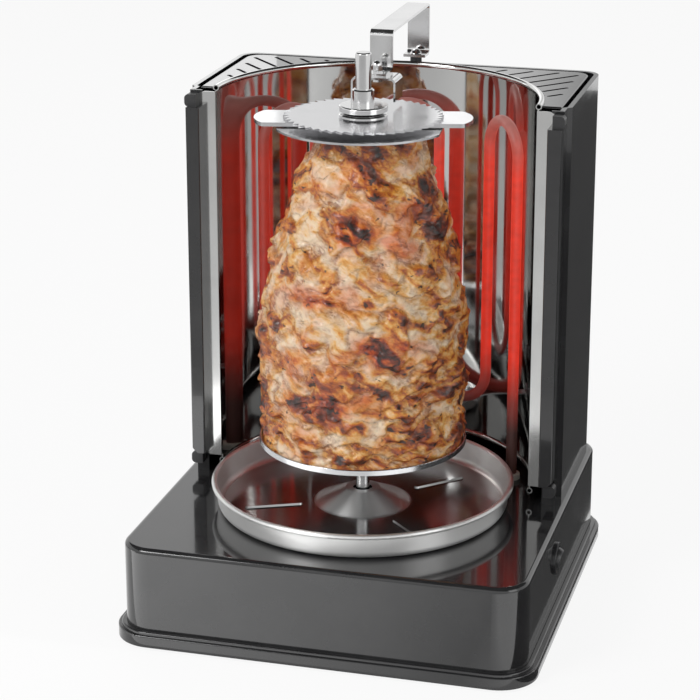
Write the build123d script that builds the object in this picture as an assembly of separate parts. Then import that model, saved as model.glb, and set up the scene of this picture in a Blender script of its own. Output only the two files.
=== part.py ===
from build123d import *
import os
from math import atan2, cos, degrees, pi, radians, sin, sqrt

# Electric skewer grill: a vertical spit turns in front of a half-round mirror
# with one serpentine heating rod. Millimetres, +Z up, +X to the right and -Y
# towards the cook. The origin is on the table, under the middle of the base.

os.makedirs("parts", exist_ok=True)

# ---------------------------------------------------------------- base
base_width = 287.0
base_depth = 292.0
base_corner = 22.0
base_wall = 1.5
base_edge_round = 3.6
base_top_z = 73.5
foot_lift = 2.0
pan_width = 300.0
pan_depth = 302.0
pan_corner = 28.0
pan_floor = 2.0
pan_band_height = 8.6
pan_step_in = 3.0
pan_step_height = 2.2
pan_edge_round = 1.3
seat_clearance = 0.2
foot_radius = 11.0
foot_inset = 32.0
screw_radius = 2.0
screw_head_radius = 3.8
screw_head_height = 1.3
screw_length = 9.0
screw_clearance = 0.05
hole_clearance = 0.2
foot_round = 0.6
screw_recess = 0.3
tab_size = 16.0
tab_thickness = 2.0
vent_count = 7
vent_length = 34.0
vent_width = 3.0
vent_pitch = 9.0
wiring_radius = 8.0
wiring_inset = 14.0

# ---------------------------------------------------------------- spindle
spindle_y = -21.7
shaft_radius = 5.0
tang_side = 8.0
tang_length = 12.5
tang_clearance = 0.15
tang_room = 0.6
tang_chamfer = 1.0
socket_radius = 8.05
socket_top_z = 82.0
socket_bottom_z = 64.6
socket_collar_radius = 11.5
socket_collar_height = 2.0
socket_chamfer = 0.8
running_clearance = 0.05
bush_wall = 3.0
bush_flange_radius = 15.0
bush_flange_height = 2.0
bush_depth = 7.5
motor_shaft_radius = 3.45
motor_shaft_depth = 5.0
motor_shaft_grip = 3.2
motor_radius = 25.0
motor_height = 20.0
motor_boss_radius = 8.0
motor_round = 1.5
motor_bore_room = 0.5
motor_plug_width = 16.0
motor_plug_reach = 7.0
motor_plug_height = 8.0
motor_plug_inset = 3.0
motor_screw_head = 2.2
motor_screw_tip = 2.5
motor_ear_pitch = 60.0
motor_ear_width = 10.0
motor_ear_thickness = 2.0
gearbox_height = 7.0
gearbox_inset = 2.0
motor_plate_width = 150.0
motor_plate_depth = 96.0
motor_plate_thickness = 1.5
motor_plate_gap = 8.0
motor_plate_corner = 8.0
standoff_radius = 4.0
standoff_inset = 10.0

# ---------------------------------------------------------------- drip tray
tray_floor_radius = 104.2
tray_rim_radius = 106.0
tray_bead_radius = 1.9
tray_height = 18.5
tray_sheet = 0.9
tray_corner = 5.0
hub_radius = 36.0
hub_top_radius = 12.5
hub_height = 11.5
hub_hole_radius = 7.0
rib_length = 42.0
rib_width = 4.4
rib_height = 1.4
rib_taper = 20.0
rib_inner_radius = 44.0
rib_first_angle = 205.0
rib_angles = (0.0, 110.0, 200.0)

# ---------------------------------------------------------------- column
column_width = 276.0
column_front_y = 6.0
column_back_y = 142.0
column_corner = 14.0
column_sheet = 1.2
column_top_z = 363.8
column_lip = 9.0
column_joggle = 3.0
column_joggle_y = 20.0
column_fold = 3.5
column_fold_relief = 2.0
top_plate_width = 262.0
top_plate_front_y = 18.0
top_plate_sheet = 1.2
top_plate_skirt = 7.0
top_plate_gap = 2.0
top_plate_corner = 12.0
top_plate_mirror_gap = 0.3
slot_count = 8
slot_pitch = 14.5
slot_width = 3.0
slot_angle = 48.0
slot_margin = 7.0
slot_rim_gap = 5.0

# ---------------------------------------------------------------- reflector
mirror_radius = 116.0
mirror_y = 8.5
mirror_sheet = 0.9
mirror_bottom_z = 82.0
mirror_top_z = 365.4
mirror_bead_radius = 2.2
mirror_bead_wall = 0.7
mirror_flange_width = 17.0
mirror_flange_bottom_z = 87.0
mirror_flange_corner = 10.0

# ---------------------------------------------------------------- front posts
post_width = 10.0
post_depth = 10.5
post_outer_x = 135.2
post_bottom_z = 91.0
post_top_z = 353.0
post_wall = 1.5
post_chamfer = 4.0
post_round = 1.0
socket_height = 9.0
socket_inset = 1.5
socket_depth = 7.5
socket_round = 3.0

# ---------------------------------------------------------------- heating rod
rod_radius = 4.0
rod_ring_radius = 103.5
rod_legs = 6
rod_leg_step = 26.5
rod_top_z = 339.5
rod_low_z = 117.0
rod_end_z = 62.0
collar_radius = 6.5
collar_rise = 4.5
collar_round = 1.0
collar_neck_inset = 1.5
collar_neck_length = 3.0
clip_width = 9.0
clip_sheet = 1.0
clip_gap = 0.3
clip_drop = 4.0
clip_rise = 5.0

# ---------------------------------------------------------------- top arm
arm_width = 16.5
arm_sheet = 2.0
arm_top_z = 409.3
arm_front_y = 27.4
arm_back_y = 140.6
arm_bend = 3.0
arm_foot_lift = 6.6
arm_foot_length = 15.0
arm_screw_y = 131.6
arm_spacer_radius = 4.3
dome_radius = 4.4
dome_height = 3.0
arm_nut_height = 3.0
arm_screw_tip = 5.0
arm_tongue = 4.0
fork_width = 32.0
fork_front_y = 4.4
fork_back_y = 25.4
fork_sheet = 1.4
fork_top_z = 380.0
fork_leg_end_z = 363.6
fork_bend = 3.0
fork_bolt_y = 15.0
fork_bolt_radius = 2.5
cap_nut_radius = 3.9
cap_nut_height = 5.0
cap_nut_dome = 0.82
hex_nut_height = 3.2

# ---------------------------------------------------------------- skewer
lower_plate_radius = 74.0
lower_plate_sheet = 1.5
lower_plate_top_z = 124.0
lower_plate_lip = 2.5
lower_plate_lip_round = 0.6
boss_radius = 9.0
boss_height = 6.0
boss_chamfer = 1.0
disc_radius = 55.3
disc_teeth = 48
disc_tooth_depth = 4.2
disc_tooth_rake = 0.12
disc_sheet = 1.5
disc_top_z = 359.6
ear_length = 151.0
ear_width = 38.0
ear_end_radius = 30.0
ear_corner = 4.0
ear_sheet = 1.6
ear_turn = 13.0
ear_rib = 1.2
grip_radius = 62.7
grip_flat = 56.0
grip_sheet = 1.5
grip_turn = 6.0
grip_gap = 2.0
ring_radius = 17.0
ring_lower_height = 1.2
ring_groove = 2.2
ring_upper_height = 4.0
ring_neck_radius = 14.0
ring_chamfer = 0.5
ring_round = 1.2
shoulder_radius = 7.6
shoulder_height = 11.0
shoulder_chamfer = 0.9
pin_radius = 5.6
pin_top_z = 403.4
pin_round = 1.2
nut_across = 19.0
nut_height = 5.5
meat_belly = 1.6
meat_taper = 38.0
meat_taper_start = 0.35
meat_taper_power = 1.75
meat_drift = 4.4
meat_lip_share = 0.013
meat_foot_share = 0.09
meat_relief = 2.6
meat_lobes = 11
meat_climb = 24.0
meat_lobe_phase = 2.4
meat_wave_share = 0.7
meat_levels = 16
meat_gap = 0.4
meat_over_nut = 1.0

# ---------------------------------------------------------------- electrics
switch_y = -28.5
switch_z = 48.0
switch_bezel_radius = 11.6
switch_bezel_height = 2.0
switch_body_radius = 9.9
switch_body_depth = 17.0
switch_well_radius = 8.6
switch_well_depth = 9.0
rocker_gap = 0.4
rocker_tilt = 11.0
rocker_reach = 3.4
rocker_pin_radius = 1.0
rocker_pin_length = 1.6
lug_width = 4.8
lug_length = 7.0
lug_sheet = 0.8
lug_offset = 4.0
bezel_round = 0.8
rocker_pivot_drop = 0.4
rocker_back = 3.2
rocker_pin_room = 0.9
gland_x = -92.0
gland_z = 36.0
gland_radius = 8.5
gland_bore = 3.4
gland_rise = 3.6
gland_neck_radius = 6.0
gland_depth = 10.0
gland_round = 1.2
block_x = 70.0
block_y = 78.0
block_length = 46.0
block_width = 18.0
block_height = 16.0
block_ways = 4
way_screw_radius = 2.6
way_bore_radius = 1.8
way_drop = 2.0
cutout_radius = 8.0
cutout_height = 5.0
cutout_z = 250.0
cutout_gap = 0.3
cutout_lug_span = 17.6
cutout_lug_sheet = 1.0
cutout_lug_height = 5.0

# ---------------------------------------------------------------- worked out
pan_top_z = foot_lift + pan_band_height
shell_bottom_z = foot_lift + pan_floor
shell_roof_z = base_top_z - base_wall
bush_bore = socket_radius + running_clearance
bush_radius = bush_bore + bush_wall
collar_seat_z = base_top_z + bush_flange_height
motor_plate_top_z = shell_roof_z - motor_plate_gap
motor_top_z = motor_plate_top_z - motor_plate_thickness
tray_bottom_z = base_top_z
disc_bottom_z = disc_top_z - disc_sheet
ear_bottom_z = disc_bottom_z - ear_sheet
grip_top_z = ear_bottom_z - grip_gap
grip_bottom_z = grip_top_z - grip_sheet
nut_bottom_z = grip_bottom_z - nut_height
meat_bottom_z = lower_plate_top_z
meat_top_z = nut_bottom_z + meat_over_nut
meat_foot_radius = lower_plate_radius - lower_plate_sheet - meat_gap
mirror_outer = mirror_radius + mirror_sheet
flange_front_y = column_front_y - mirror_sheet
post_back_y = flange_front_y
column_half = column_width / 2


def seat(x, y, z):
    """A place given by three lengths."""
    return Pos(x, y, z)


def rod(radius, z_low, z_high, x=0.0, y=0.0):
    """An upright cylinder between two heights."""
    return seat(x, y, (z_low + z_high) / 2) * Cylinder(radius, z_high - z_low)


def block(x_low, x_high, y_low, y_high, z_low, z_high):
    """A box between three pairs of planes."""
    size = (x_high - x_low, y_high - y_low, z_high - z_low)
    centre = ((x_low + x_high) / 2, (y_low + y_high) / 2, (z_low + z_high) / 2)
    return seat(*centre) * Box(*size)


def rounded_slab(width, depth, corner, z_low, z_high):
    """A flat slab with rounded plan corners, centred on the origin."""
    return seat(0, 0, z_low) * extrude(RectangleRounded(width, depth, corner), z_high - z_low)


def edges_at(shape, z):
    """The edges of a shape that lie in one level plane."""
    return shape.edges().filter_by_position(Axis.Z, z - 0.01, z + 0.01)


def ring_section(radius, z_low, z_high, wall):
    """A tube with a wall on the inside of its radius."""
    return rod(radius, z_low, z_high) - rod(radius - wall, z_low, z_high)


def group(solids):
    """Separate solids kept together as one sub-part."""
    return Compound(children=list(solids))


def save(name, shape):
    """Write one sub-part."""
    export_step(shape, "parts/" + name + ".step")


# ================================================================ base
foot_places = [
    (sx * (base_width / 2 - foot_inset), sy * (base_depth / 2 - foot_inset))
    for sx in (-1, 1)
    for sy in (-1, 1)
]


def base_pan():
    """Stepped pan that closes the base from below and carries the feet."""
    band = rounded_slab(pan_width, pan_depth, pan_corner, foot_lift, pan_top_z)
    band = fillet(edges_at(band, pan_top_z), pan_edge_round)
    step_width = pan_width - 2 * pan_step_in
    step_depth = pan_depth - pan_step_in
    step_top = pan_top_z + pan_step_height
    step = rounded_slab(step_width, step_depth, pan_corner - pan_step_in, foot_lift, step_top)
    step = fillet(edges_at(step, step_top), pan_edge_round)
    pocket = rounded_slab(
        base_width + 2 * seat_clearance,
        base_depth + 2 * seat_clearance,
        base_corner + seat_clearance,
        shell_bottom_z,
        step_top,
    )
    pan = band + step - pocket
    for x, y in foot_places:
        pan -= rod(screw_radius + hole_clearance, foot_lift, shell_bottom_z, x, y)
    first = -(vent_count - 1) / 2 * vent_pitch
    for index in range(vent_count):
        outline = SlotOverall(vent_length, vent_width)
        place = seat(first + index * vent_pitch, spindle_y, foot_lift) * Rot(0, 0, 90)
        pan -= place * extrude(outline, pan_floor)
    return pan


def rod_leg_place(index):
    """Plan position of one upright leg of the heating rod."""
    middle = (rod_legs - 1) / 2
    angle = radians(90 + (index - middle) * rod_leg_step)
    return rod_ring_radius * cos(angle), mirror_y + rod_ring_radius * sin(angle)


rod_ends = [rod_leg_place(0), rod_leg_place(rod_legs - 1)]


def base_shell():
    """Drawn steel cover of the base, open below."""
    outer = rounded_slab(base_width, base_depth, base_corner, shell_bottom_z, base_top_z)
    outer = fillet(edges_at(outer, base_top_z), base_edge_round)
    inner = rounded_slab(
        base_width - 2 * base_wall,
        base_depth - 2 * base_wall,
        base_corner - base_wall,
        shell_bottom_z,
        shell_roof_z,
    )
    inner = fillet(edges_at(inner, shell_roof_z), base_edge_round - base_wall)
    shell = outer - inner
    for x, y in foot_places:
        tab_reach_x = base_width / 2 - base_wall
        x_side = tab_reach_x if x > 0 else -tab_reach_x
        x_inner = x - tab_size / 2 if x > 0 else x + tab_size / 2
        tab = block(
            min(x_side, x_inner),
            max(x_side, x_inner),
            y - tab_size / 2,
            y + tab_size / 2,
            shell_bottom_z,
            shell_bottom_z + tab_thickness,
        )
        tab -= rod(screw_radius + screw_clearance, shell_bottom_z, base_top_z, x, y)
        shell += tab
    shell -= rod(bush_radius, shell_roof_z, base_top_z, 0, spindle_y)
    for x, y in rod_ends:
        shell -= rod(collar_radius - collar_neck_inset, shell_roof_z, base_top_z, x, y)
    shell -= rod(wiring_radius, shell_roof_z, base_top_z, 0, column_back_y - wiring_inset)
    side_hole = Rot(0, 90, 0) * Cylinder(switch_body_radius, 4 * base_wall)
    shell -= seat(base_width / 2, switch_y, switch_z) * side_hole
    back_hole = Rot(90, 0, 0) * Cylinder(gland_neck_radius, 4 * base_wall)
    shell -= seat(gland_x, base_depth / 2, gland_z) * back_hole
    return shell


def rubber_feet():
    """Four feet, each with a recess for its screw head."""
    feet = []
    for x, y in foot_places:
        foot = rod(foot_radius, 0, foot_lift, x, y)
        foot = fillet(edges_at(foot, 0), foot_round)
        foot -= rod(screw_head_radius + hole_clearance, 0, screw_head_height, x, y)
        foot -= rod(screw_radius + hole_clearance, 0, foot_lift, x, y)
        feet.append(foot)
    return group(feet)


def base_screws():
    """Screws that pass up through foot and pan into the shell's tabs."""
    screws = []
    for x, y in foot_places:
        head = rod(screw_head_radius, screw_recess, screw_head_height, x, y)
        shank = rod(screw_radius, screw_recess, screw_recess + screw_length, x, y)
        screws.append(head + shank)
    return group(screws)


# ================================================================ drive
def spindle_bush():
    """Flanged bush in the roof of the base."""
    flange = rod(bush_flange_radius, base_top_z, collar_seat_z)
    flange = fillet(edges_at(flange, collar_seat_z), foot_round)
    sleeve = rod(bush_radius, base_top_z - bush_depth, base_top_z)
    bush = flange + sleeve - rod(bush_bore, base_top_z - bush_depth, collar_seat_z)
    return seat(0, spindle_y, 0) * bush


def drive_socket():
    """Turning socket with a square hole for the skewer's tang."""
    sleeve = rod(socket_radius, socket_bottom_z, socket_top_z)
    collar = rod(socket_collar_radius, collar_seat_z, collar_seat_z + socket_collar_height)
    socket = sleeve + collar
    socket = chamfer(edges_at(socket, socket_top_z), socket_chamfer)
    side = tang_side + 2 * tang_clearance
    depth = tang_length + tang_room
    square = seat(0, 0, socket_top_z - depth) * extrude(Rectangle(side, side), depth)
    lower = rod(motor_shaft_radius, socket_bottom_z, socket_bottom_z + motor_shaft_grip)
    return seat(0, spindle_y, 0) * (socket - square - lower)


def motor_shaft():
    """Output shaft of the gear motor, pressed into the drive socket."""
    low = motor_top_z - motor_shaft_depth
    shaft = rod(motor_shaft_radius, low, socket_bottom_z + motor_shaft_grip)
    return seat(0, spindle_y, 0) * shaft


def gear_motor():
    """Flat synchronous gear motor with two ears."""
    low = motor_top_z - motor_height
    gearbox = rod(motor_radius - gearbox_inset, motor_top_z - gearbox_height, motor_top_z)
    can = rod(motor_radius, low, motor_top_z - gearbox_height)
    can = fillet(edges_at(can, low), motor_round)
    ears = extrude(SlotOverall(motor_ear_pitch + motor_ear_width, motor_ear_width), motor_ear_thickness)
    motor = gearbox + can + seat(0, 0, motor_top_z - motor_ear_thickness) * ears
    shaft_bore = motor_shaft_radius + running_clearance
    motor -= rod(shaft_bore, motor_top_z - motor_shaft_depth - motor_bore_room, motor_top_z)
    for side in (-1, 1):
        ear_hole = rod(screw_radius + screw_clearance, low, motor_top_z, side * motor_ear_pitch / 2)
        motor -= ear_hole
    plug_low = low + motor_plug_inset
    plug = block(
        motor_radius - motor_plug_inset,
        motor_radius + motor_plug_reach,
        -motor_plug_width / 2,
        motor_plug_width / 2,
        plug_low,
        plug_low + motor_plug_height,
    )
    return seat(0, spindle_y, 0) * (motor + Rot(0, 0, 90) * plug)


standoff_places = [
    (sx * (motor_plate_width / 2 - standoff_inset), sy * (motor_plate_depth / 2 - standoff_inset))
    for sx in (-1, 1)
    for sy in (-1, 1)
]


def motor_plate():
    """Plate hung from the roof: it carries the motor and keeps heat off it."""
    plate = rounded_slab(
        motor_plate_width, motor_plate_depth, motor_plate_corner, motor_top_z, motor_plate_top_z
    )
    plate -= rod(motor_boss_radius, motor_top_z, motor_plate_top_z)
    for side in (-1, 1):
        hole_x = side * motor_ear_pitch / 2
        plate -= rod(screw_radius + screw_clearance, motor_top_z, motor_plate_top_z, hole_x)
    for x, y in standoff_places:
        plate += rod(standoff_radius, motor_plate_top_z, shell_roof_z, x, y)
    return seat(0, spindle_y, 0) * plate


def motor_screws():
    """Two screws that hold the motor's ears to its plate."""
    screws = []
    for side in (-1, 1):
        x = side * motor_ear_pitch / 2
        ear_low = motor_top_z - motor_ear_thickness
        head = rod(screw_head_radius, ear_low - motor_screw_head, ear_low, x)
        shank = rod(screw_radius, ear_low, motor_plate_top_z + motor_screw_tip, x)
        screws.append(seat(0, spindle_y, 0) * (head + shank))
    return group(screws)


# ================================================================ drip tray
def drip_tray():
    """Round lift-out tray with a rolled rim, a raised hub and pressed ribs."""
    low = tray_bottom_z
    top = low + tray_height
    bend = tray_corner
    flat_end = tray_floor_radius - bend
    wall_foot = tray_floor_radius + (tray_rim_radius - tray_floor_radius) * bend / tray_height
    inner_foot = wall_foot - tray_sheet
    inner_low = low + tray_sheet
    outline = (
        Line((0, low), (flat_end, low))
        + Bezier((flat_end, low), (tray_floor_radius, low), (wall_foot, low + bend))
        + Polyline(
            (wall_foot, low + bend),
            (tray_rim_radius, top),
            (tray_rim_radius - tray_sheet, top),
            (inner_foot, low + bend),
        )
        + Bezier((inner_foot, low + bend), (tray_floor_radius - tray_sheet, inner_low), (flat_end, inner_low))
        + Polyline((flat_end, inner_low), (0, inner_low), (0, low))
    )
    dish = revolve(Plane.XZ * make_face(outline), Axis.Z)
    bead_centre = tray_rim_radius + tray_bead_radius - tray_sheet
    bead = Plane.XZ * Pos(bead_centre, top - tray_bead_radius + tray_sheet) * Circle(tray_bead_radius)
    dish += revolve(bead, Axis.Z)
    slope = loft(
        [
            seat(0, 0, low) * Circle(hub_radius),
            seat(0, 0, low + hub_height) * Circle(hub_top_radius),
        ]
    )
    hollow = loft(
        [
            seat(0, 0, low) * Circle(hub_radius - 2 * tray_sheet),
            seat(0, 0, low + hub_height - tray_sheet) * Circle(hub_top_radius - tray_sheet / 2),
        ]
    )
    dish = dish + slope - hollow
    dish -= rod(hub_hole_radius, low, low + hub_height)
    for angle in rib_angles:
        rib = SlotOverall(rib_length, rib_width)
        raised = extrude(rib, rib_height, taper=rib_taper)
        reach = rib_inner_radius + rib_length / 2
        dish += Rot(0, 0, rib_first_angle + angle) * seat(reach, 0, low + tray_sheet) * raised
    return seat(0, spindle_y, 0) * dish


# ================================================================ column
def column_outline(grow=0.0):
    """Plan of the column: straight sides that joggle in behind the mirror's flanges."""
    half = column_half + grow
    back = column_back_y + grow
    corner = column_corner + grow
    front_half = half - column_joggle
    joggle = column_joggle_y
    right = [
        (front_half, column_front_y),
        (front_half, joggle - column_joggle),
        (half, joggle),
        (half, back - corner),
    ]
    left = [(-x, y) for x, y in reversed(right)]
    bend = corner * (1 - cos(radians(45)))
    path = (
        Polyline(*right)
        + ThreePointArc((half, back - corner), (half - bend, back - bend), (half - corner, back))
        + Line((half - corner, back), (-half + corner, back))
        + ThreePointArc((-half + corner, back), (-half + bend, back - bend), (-half, back - corner))
        + Polyline(*left)
        + Line(left[-1], right[0])
    )
    return make_face(path)


def column_shell():
    """Folded steel wrap: two sides, the back, front lips and a top fold."""
    height = column_top_z - base_top_z
    outer = seat(0, 0, base_top_z) * extrude(column_outline(), height)
    inner = seat(0, 0, base_top_z) * extrude(column_outline(-column_sheet), height)
    wrap = outer - inner
    open_half = column_half - column_joggle - column_sheet
    wrap -= block(-open_half, open_half, 0, column_joggle_y, base_top_z, column_top_z)
    for side in (-1, 1):
        lip_outer = side * (column_half - column_joggle)
        lip_inner = lip_outer - side * column_lip
        wrap += block(
            min(lip_outer, lip_inner),
            max(lip_outer, lip_inner),
            column_front_y,
            column_front_y + column_sheet,
            base_top_z,
            column_top_z,
        )
    fold_low = column_top_z - column_sheet
    fold = seat(0, 0, fold_low) * extrude(column_outline(), column_sheet)
    fold -= seat(0, 0, fold_low) * extrude(column_outline(-column_fold), column_sheet)
    front_half = column_half - 2 * column_lip
    fold -= block(-front_half, front_half, 0, 2 * column_joggle_y, base_top_z, column_top_z)
    relief_y = column_front_y + column_fold_relief
    relief_z = column_top_z - column_fold_relief
    fold -= block(-column_half, column_half, column_front_y, relief_y, relief_z, column_top_z)
    return wrap + fold


def top_plate():
    """Pressed top cover with two fans of slots and a skirt at its outer edge."""
    half = top_plate_width / 2
    back = column_back_y - column_fold - top_plate_gap
    depth = back - top_plate_front_y
    outline = Rectangle(2 * half, depth)
    low = column_top_z - top_plate_skirt
    body = seat(0, (back + top_plate_front_y) / 2, low) * extrude(outline, top_plate_skirt)
    back_edges = body.edges().filter_by(Axis.Z).group_by(Axis.Y)[-1]
    body = fillet(back_edges, top_plate_corner)
    outer_rim = edges_at(body, column_top_z)
    body = fillet(outer_rim, top_plate_sheet)
    inside_half = half - top_plate_sheet
    inside = block(
        -inside_half,
        inside_half,
        top_plate_front_y - 1,
        back - top_plate_sheet,
        low,
        column_top_z - top_plate_sheet,
    )
    inside_edges = inside.edges().filter_by(Axis.Z).group_by(Axis.Y)[-1]
    inside = fillet(inside_edges, top_plate_corner - top_plate_sheet)
    opening_radius = mirror_outer + top_plate_mirror_gap
    opening = rod(opening_radius, low, column_top_z, 0, mirror_y)
    opening += block(-opening_radius, opening_radius, 0, mirror_y, low, column_top_z)
    plate = body - inside - opening
    plate -= rod(screw_radius + hole_clearance, low, column_top_z, 0, arm_screw_y)
    for x_side in (-1, 1):
        for solid in slot_cutters(half - slot_margin, back - slot_margin):
            plate -= solid if x_side > 0 else mirror(solid, Plane.YZ)
    return plate


def slot_cutters(x_limit, y_limit):
    """Slanted vent slots between the mirror's rim and the plate's outer edge."""
    direction = (cos(radians(slot_angle)), sin(radians(slot_angle)))
    across = (direction[1], -direction[0])
    inner_radius = mirror_outer + slot_rim_gap
    cutters = []
    for index in range(slot_count):
        offset = (index - (slot_count - 1) / 2) * slot_pitch + 0.5 * slot_pitch
        if abs(offset) >= inner_radius:
            continue
        reach = sqrt(inner_radius**2 - offset**2)
        start_x = across[0] * offset + direction[0] * reach
        start_y = mirror_y + across[1] * offset + direction[1] * reach
        run_x = (x_limit - start_x) / direction[0]
        run_y = (y_limit - start_y) / direction[1]
        run = min(run_x, run_y)
        if run < 2 * slot_width:
            continue
        middle_x = start_x + direction[0] * run / 2
        middle_y = start_y + direction[1] * run / 2
        outline = SlotOverall(run, slot_width)
        cutter = extrude(outline, 4 * top_plate_sheet)
        place = seat(middle_x, middle_y, column_top_z - 2 * top_plate_sheet)
        cutters.append(place * Rot(0, 0, slot_angle) * cutter)
    return cutters


def mirror_bead(z):
    """Rolled edge of the mirror: an open tube round the half circle."""
    centre = mirror_radius + mirror_sheet / 2
    section = Plane.XZ * Pos(centre, z) * Circle(mirror_bead_radius)
    bore = Plane.XZ * Pos(centre, z) * Circle(mirror_bead_radius - mirror_bead_wall)
    rolled = revolve(section, Axis.Z, 180) - revolve(bore, Axis.Z, 180)
    return seat(0, mirror_y, 0) * rolled


def reflector():
    """Half-round polished mirror with flat front flanges and rolled edges."""
    height = mirror_top_z - mirror_bottom_z
    half_ring = rod(mirror_outer, mirror_bottom_z, mirror_top_z)
    half_ring -= rod(mirror_radius, mirror_bottom_z, mirror_top_z)
    wide = 2 * mirror_outer
    half_ring -= block(-wide, wide, -wide, 0, mirror_bottom_z, mirror_top_z)
    body = seat(0, mirror_y, 0) * half_ring
    body -= mirror_bead_core(mirror_top_z)
    body -= mirror_bead_core(mirror_bottom_z)
    body += mirror_bead(mirror_top_z) + mirror_bead(mirror_bottom_z)
    flange_top = mirror_bottom_z + height - mirror_bead_radius
    for side in (-1, 1):
        cheek_inner = side * mirror_radius
        cheek_outer = side * mirror_outer
        body += block(
            min(cheek_inner, cheek_outer),
            max(cheek_inner, cheek_outer),
            flange_front_y,
            mirror_y,
            mirror_flange_bottom_z,
            flange_top,
        )
        flange_outer = side * (mirror_radius + mirror_flange_width)
        flange = block(
            min(cheek_inner, flange_outer),
            max(cheek_inner, flange_outer),
            flange_front_y,
            flange_front_y + mirror_sheet,
            mirror_flange_bottom_z,
            flange_top,
        )
        corner_edges = flange.edges().filter_by(Axis.Y).group_by(Axis.X)[-1 if side > 0 else 0]
        body += fillet(corner_edges, mirror_flange_corner)
    return body


def mirror_bead_core(z):
    """The bore of a rolled edge, kept free of the sheet."""
    centre = mirror_radius + mirror_sheet / 2
    section = Plane.XZ * Pos(centre, z) * Circle(mirror_bead_radius - mirror_bead_wall / 2)
    return seat(0, mirror_y, 0) * revolve(section, Axis.Z, 180)


# ================================================================ front posts
def front_post(side):
    """Square tube that stands on the mirror's flange, cut away at its foot."""
    x_outer = side * post_outer_x
    x_inner = side * (post_outer_x - post_width)
    low_x = min(x_outer, x_inner)
    high_x = max(x_outer, x_inner)
    front_y = post_back_y - post_depth
    tube = block(low_x, high_x, front_y, post_back_y, post_bottom_z, post_top_z)
    tube = fillet(tube.edges().filter_by(Axis.Z).group_by(Axis.Y)[0], post_round)
    tube -= block(
        low_x + post_wall,
        high_x - post_wall,
        front_y + post_wall,
        post_back_y - post_wall,
        post_bottom_z + post_wall,
        post_top_z - post_wall,
    )
    tip = (x_outer, post_bottom_z)
    corner = make_face(
        Polyline(
            tip,
            (x_outer, post_bottom_z + post_chamfer),
            (x_outer - side * post_chamfer, post_bottom_z),
            close=True,
        )
    )
    return tube - seat(0, post_back_y, 0) * extrude(Plane.XZ * corner, post_depth)


def post_sockets():
    """Four plastic end pieces, one above and one below each post."""
    pieces = []
    for side in (-1, 1):
        x_outer = side * (post_outer_x + socket_inset)
        x_inner = side * (post_outer_x - post_width + 2 * socket_inset)
        for z_low in (post_bottom_z - socket_height, post_top_z):
            piece = block(
                min(x_outer, x_inner),
                max(x_outer, x_inner),
                post_back_y - socket_depth,
                post_back_y,
                z_low,
                z_low + socket_height,
            )
            edges = piece.edges().filter_by(Axis.Y).group_by(Axis.X)[-1 if side > 0 else 0]
            pieces.append(fillet(edges, socket_round))
    return group(pieces)


# ================================================================ heating rod
def heating_rod():
    """One sheathed rod bent into upright legs with half-turn bends."""
    section = Circle(rod_radius)
    places = [rod_leg_place(index) for index in range(rod_legs)]
    bend = rod_ring_radius * sin(radians(rod_leg_step / 2))
    high = rod_top_z - bend
    low = rod_low_z + bend
    solid = None
    for index, (x, y) in enumerate(places):
        outer_leg = index in (0, rod_legs - 1)
        leg = rod(rod_radius, rod_end_z if outer_leg else low, high, x, y)
        solid = leg if solid is None else solid + leg
    for index in range(rod_legs - 1):
        x1, y1 = places[index]
        x2, y2 = places[index + 1]
        angle = degrees(atan2(y2 - y1, x2 - x1))
        upper = index % 2 == 0
        middle = seat((x1 + x2) / 2, (y1 + y2) / 2, high if upper else low) * Rot(0, 0, angle)
        turn = revolve(Pos(bend, 0) * section, Axis.Y, -180 if upper else 180)
        solid += middle * turn
    return solid


def rod_collars():
    """Two ceramic collars where the rod's cold ends enter the base."""
    collars = []
    for x, y in rod_ends:
        collar = rod(collar_radius, base_top_z, base_top_z + collar_rise, x, y)
        collar = fillet(edges_at(collar, base_top_z + collar_rise), collar_round)
        neck_low = shell_roof_z - collar_neck_length
        collar += rod(collar_radius - collar_neck_inset, neck_low, base_top_z, x, y)
        collar -= rod(rod_radius + hole_clearance / 2, rod_end_z, base_top_z + collar_rise, x, y)
        collars.append(collar)
    return group(collars)


def rod_clips():
    """Straps from the mirror that carry the two lower bends of the rod."""
    clips = []
    for index in range(1, rod_legs - 1, 2):
        x1, y1 = rod_leg_place(index)
        x2, y2 = rod_leg_place(index + 1)
        angle = degrees(atan2((y1 + y2) / 2 - mirror_y, (x1 + x2) / 2))
        bend_reach = rod_ring_radius * cos(radians(rod_leg_step / 2))
        low = rod_low_z - rod_radius
        outer = mirror_radius - clip_gap
        shelf = block(
            bend_reach - rod_radius,
            outer,
            -clip_width / 2,
            clip_width / 2,
            low - clip_sheet,
            low,
        )
        back = block(
            outer - clip_sheet,
            outer,
            -clip_width / 2,
            clip_width / 2,
            low - clip_drop,
            low + clip_rise,
        )
        clips.append(seat(0, mirror_y, 0) * Rot(0, 0, angle) * (shelf + back))
    return group(clips)


# ================================================================ top arm
def strip(points, bend, width, sheet):
    """A flat strip bent along a path in the YZ plane, centred on X = 0."""
    path = FilletPolyline(*[(0, y, z) for y, z in points], radius=bend)
    start = points[0]
    following = points[1]
    direction = Vector(0, following[0] - start[0], following[1] - start[1]).normalized()
    plane = Plane(origin=(0, start[0], start[1]), x_dir=(1, 0, 0), z_dir=direction)
    return sweep(plane * Rectangle(width, sheet), path=path)


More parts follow.
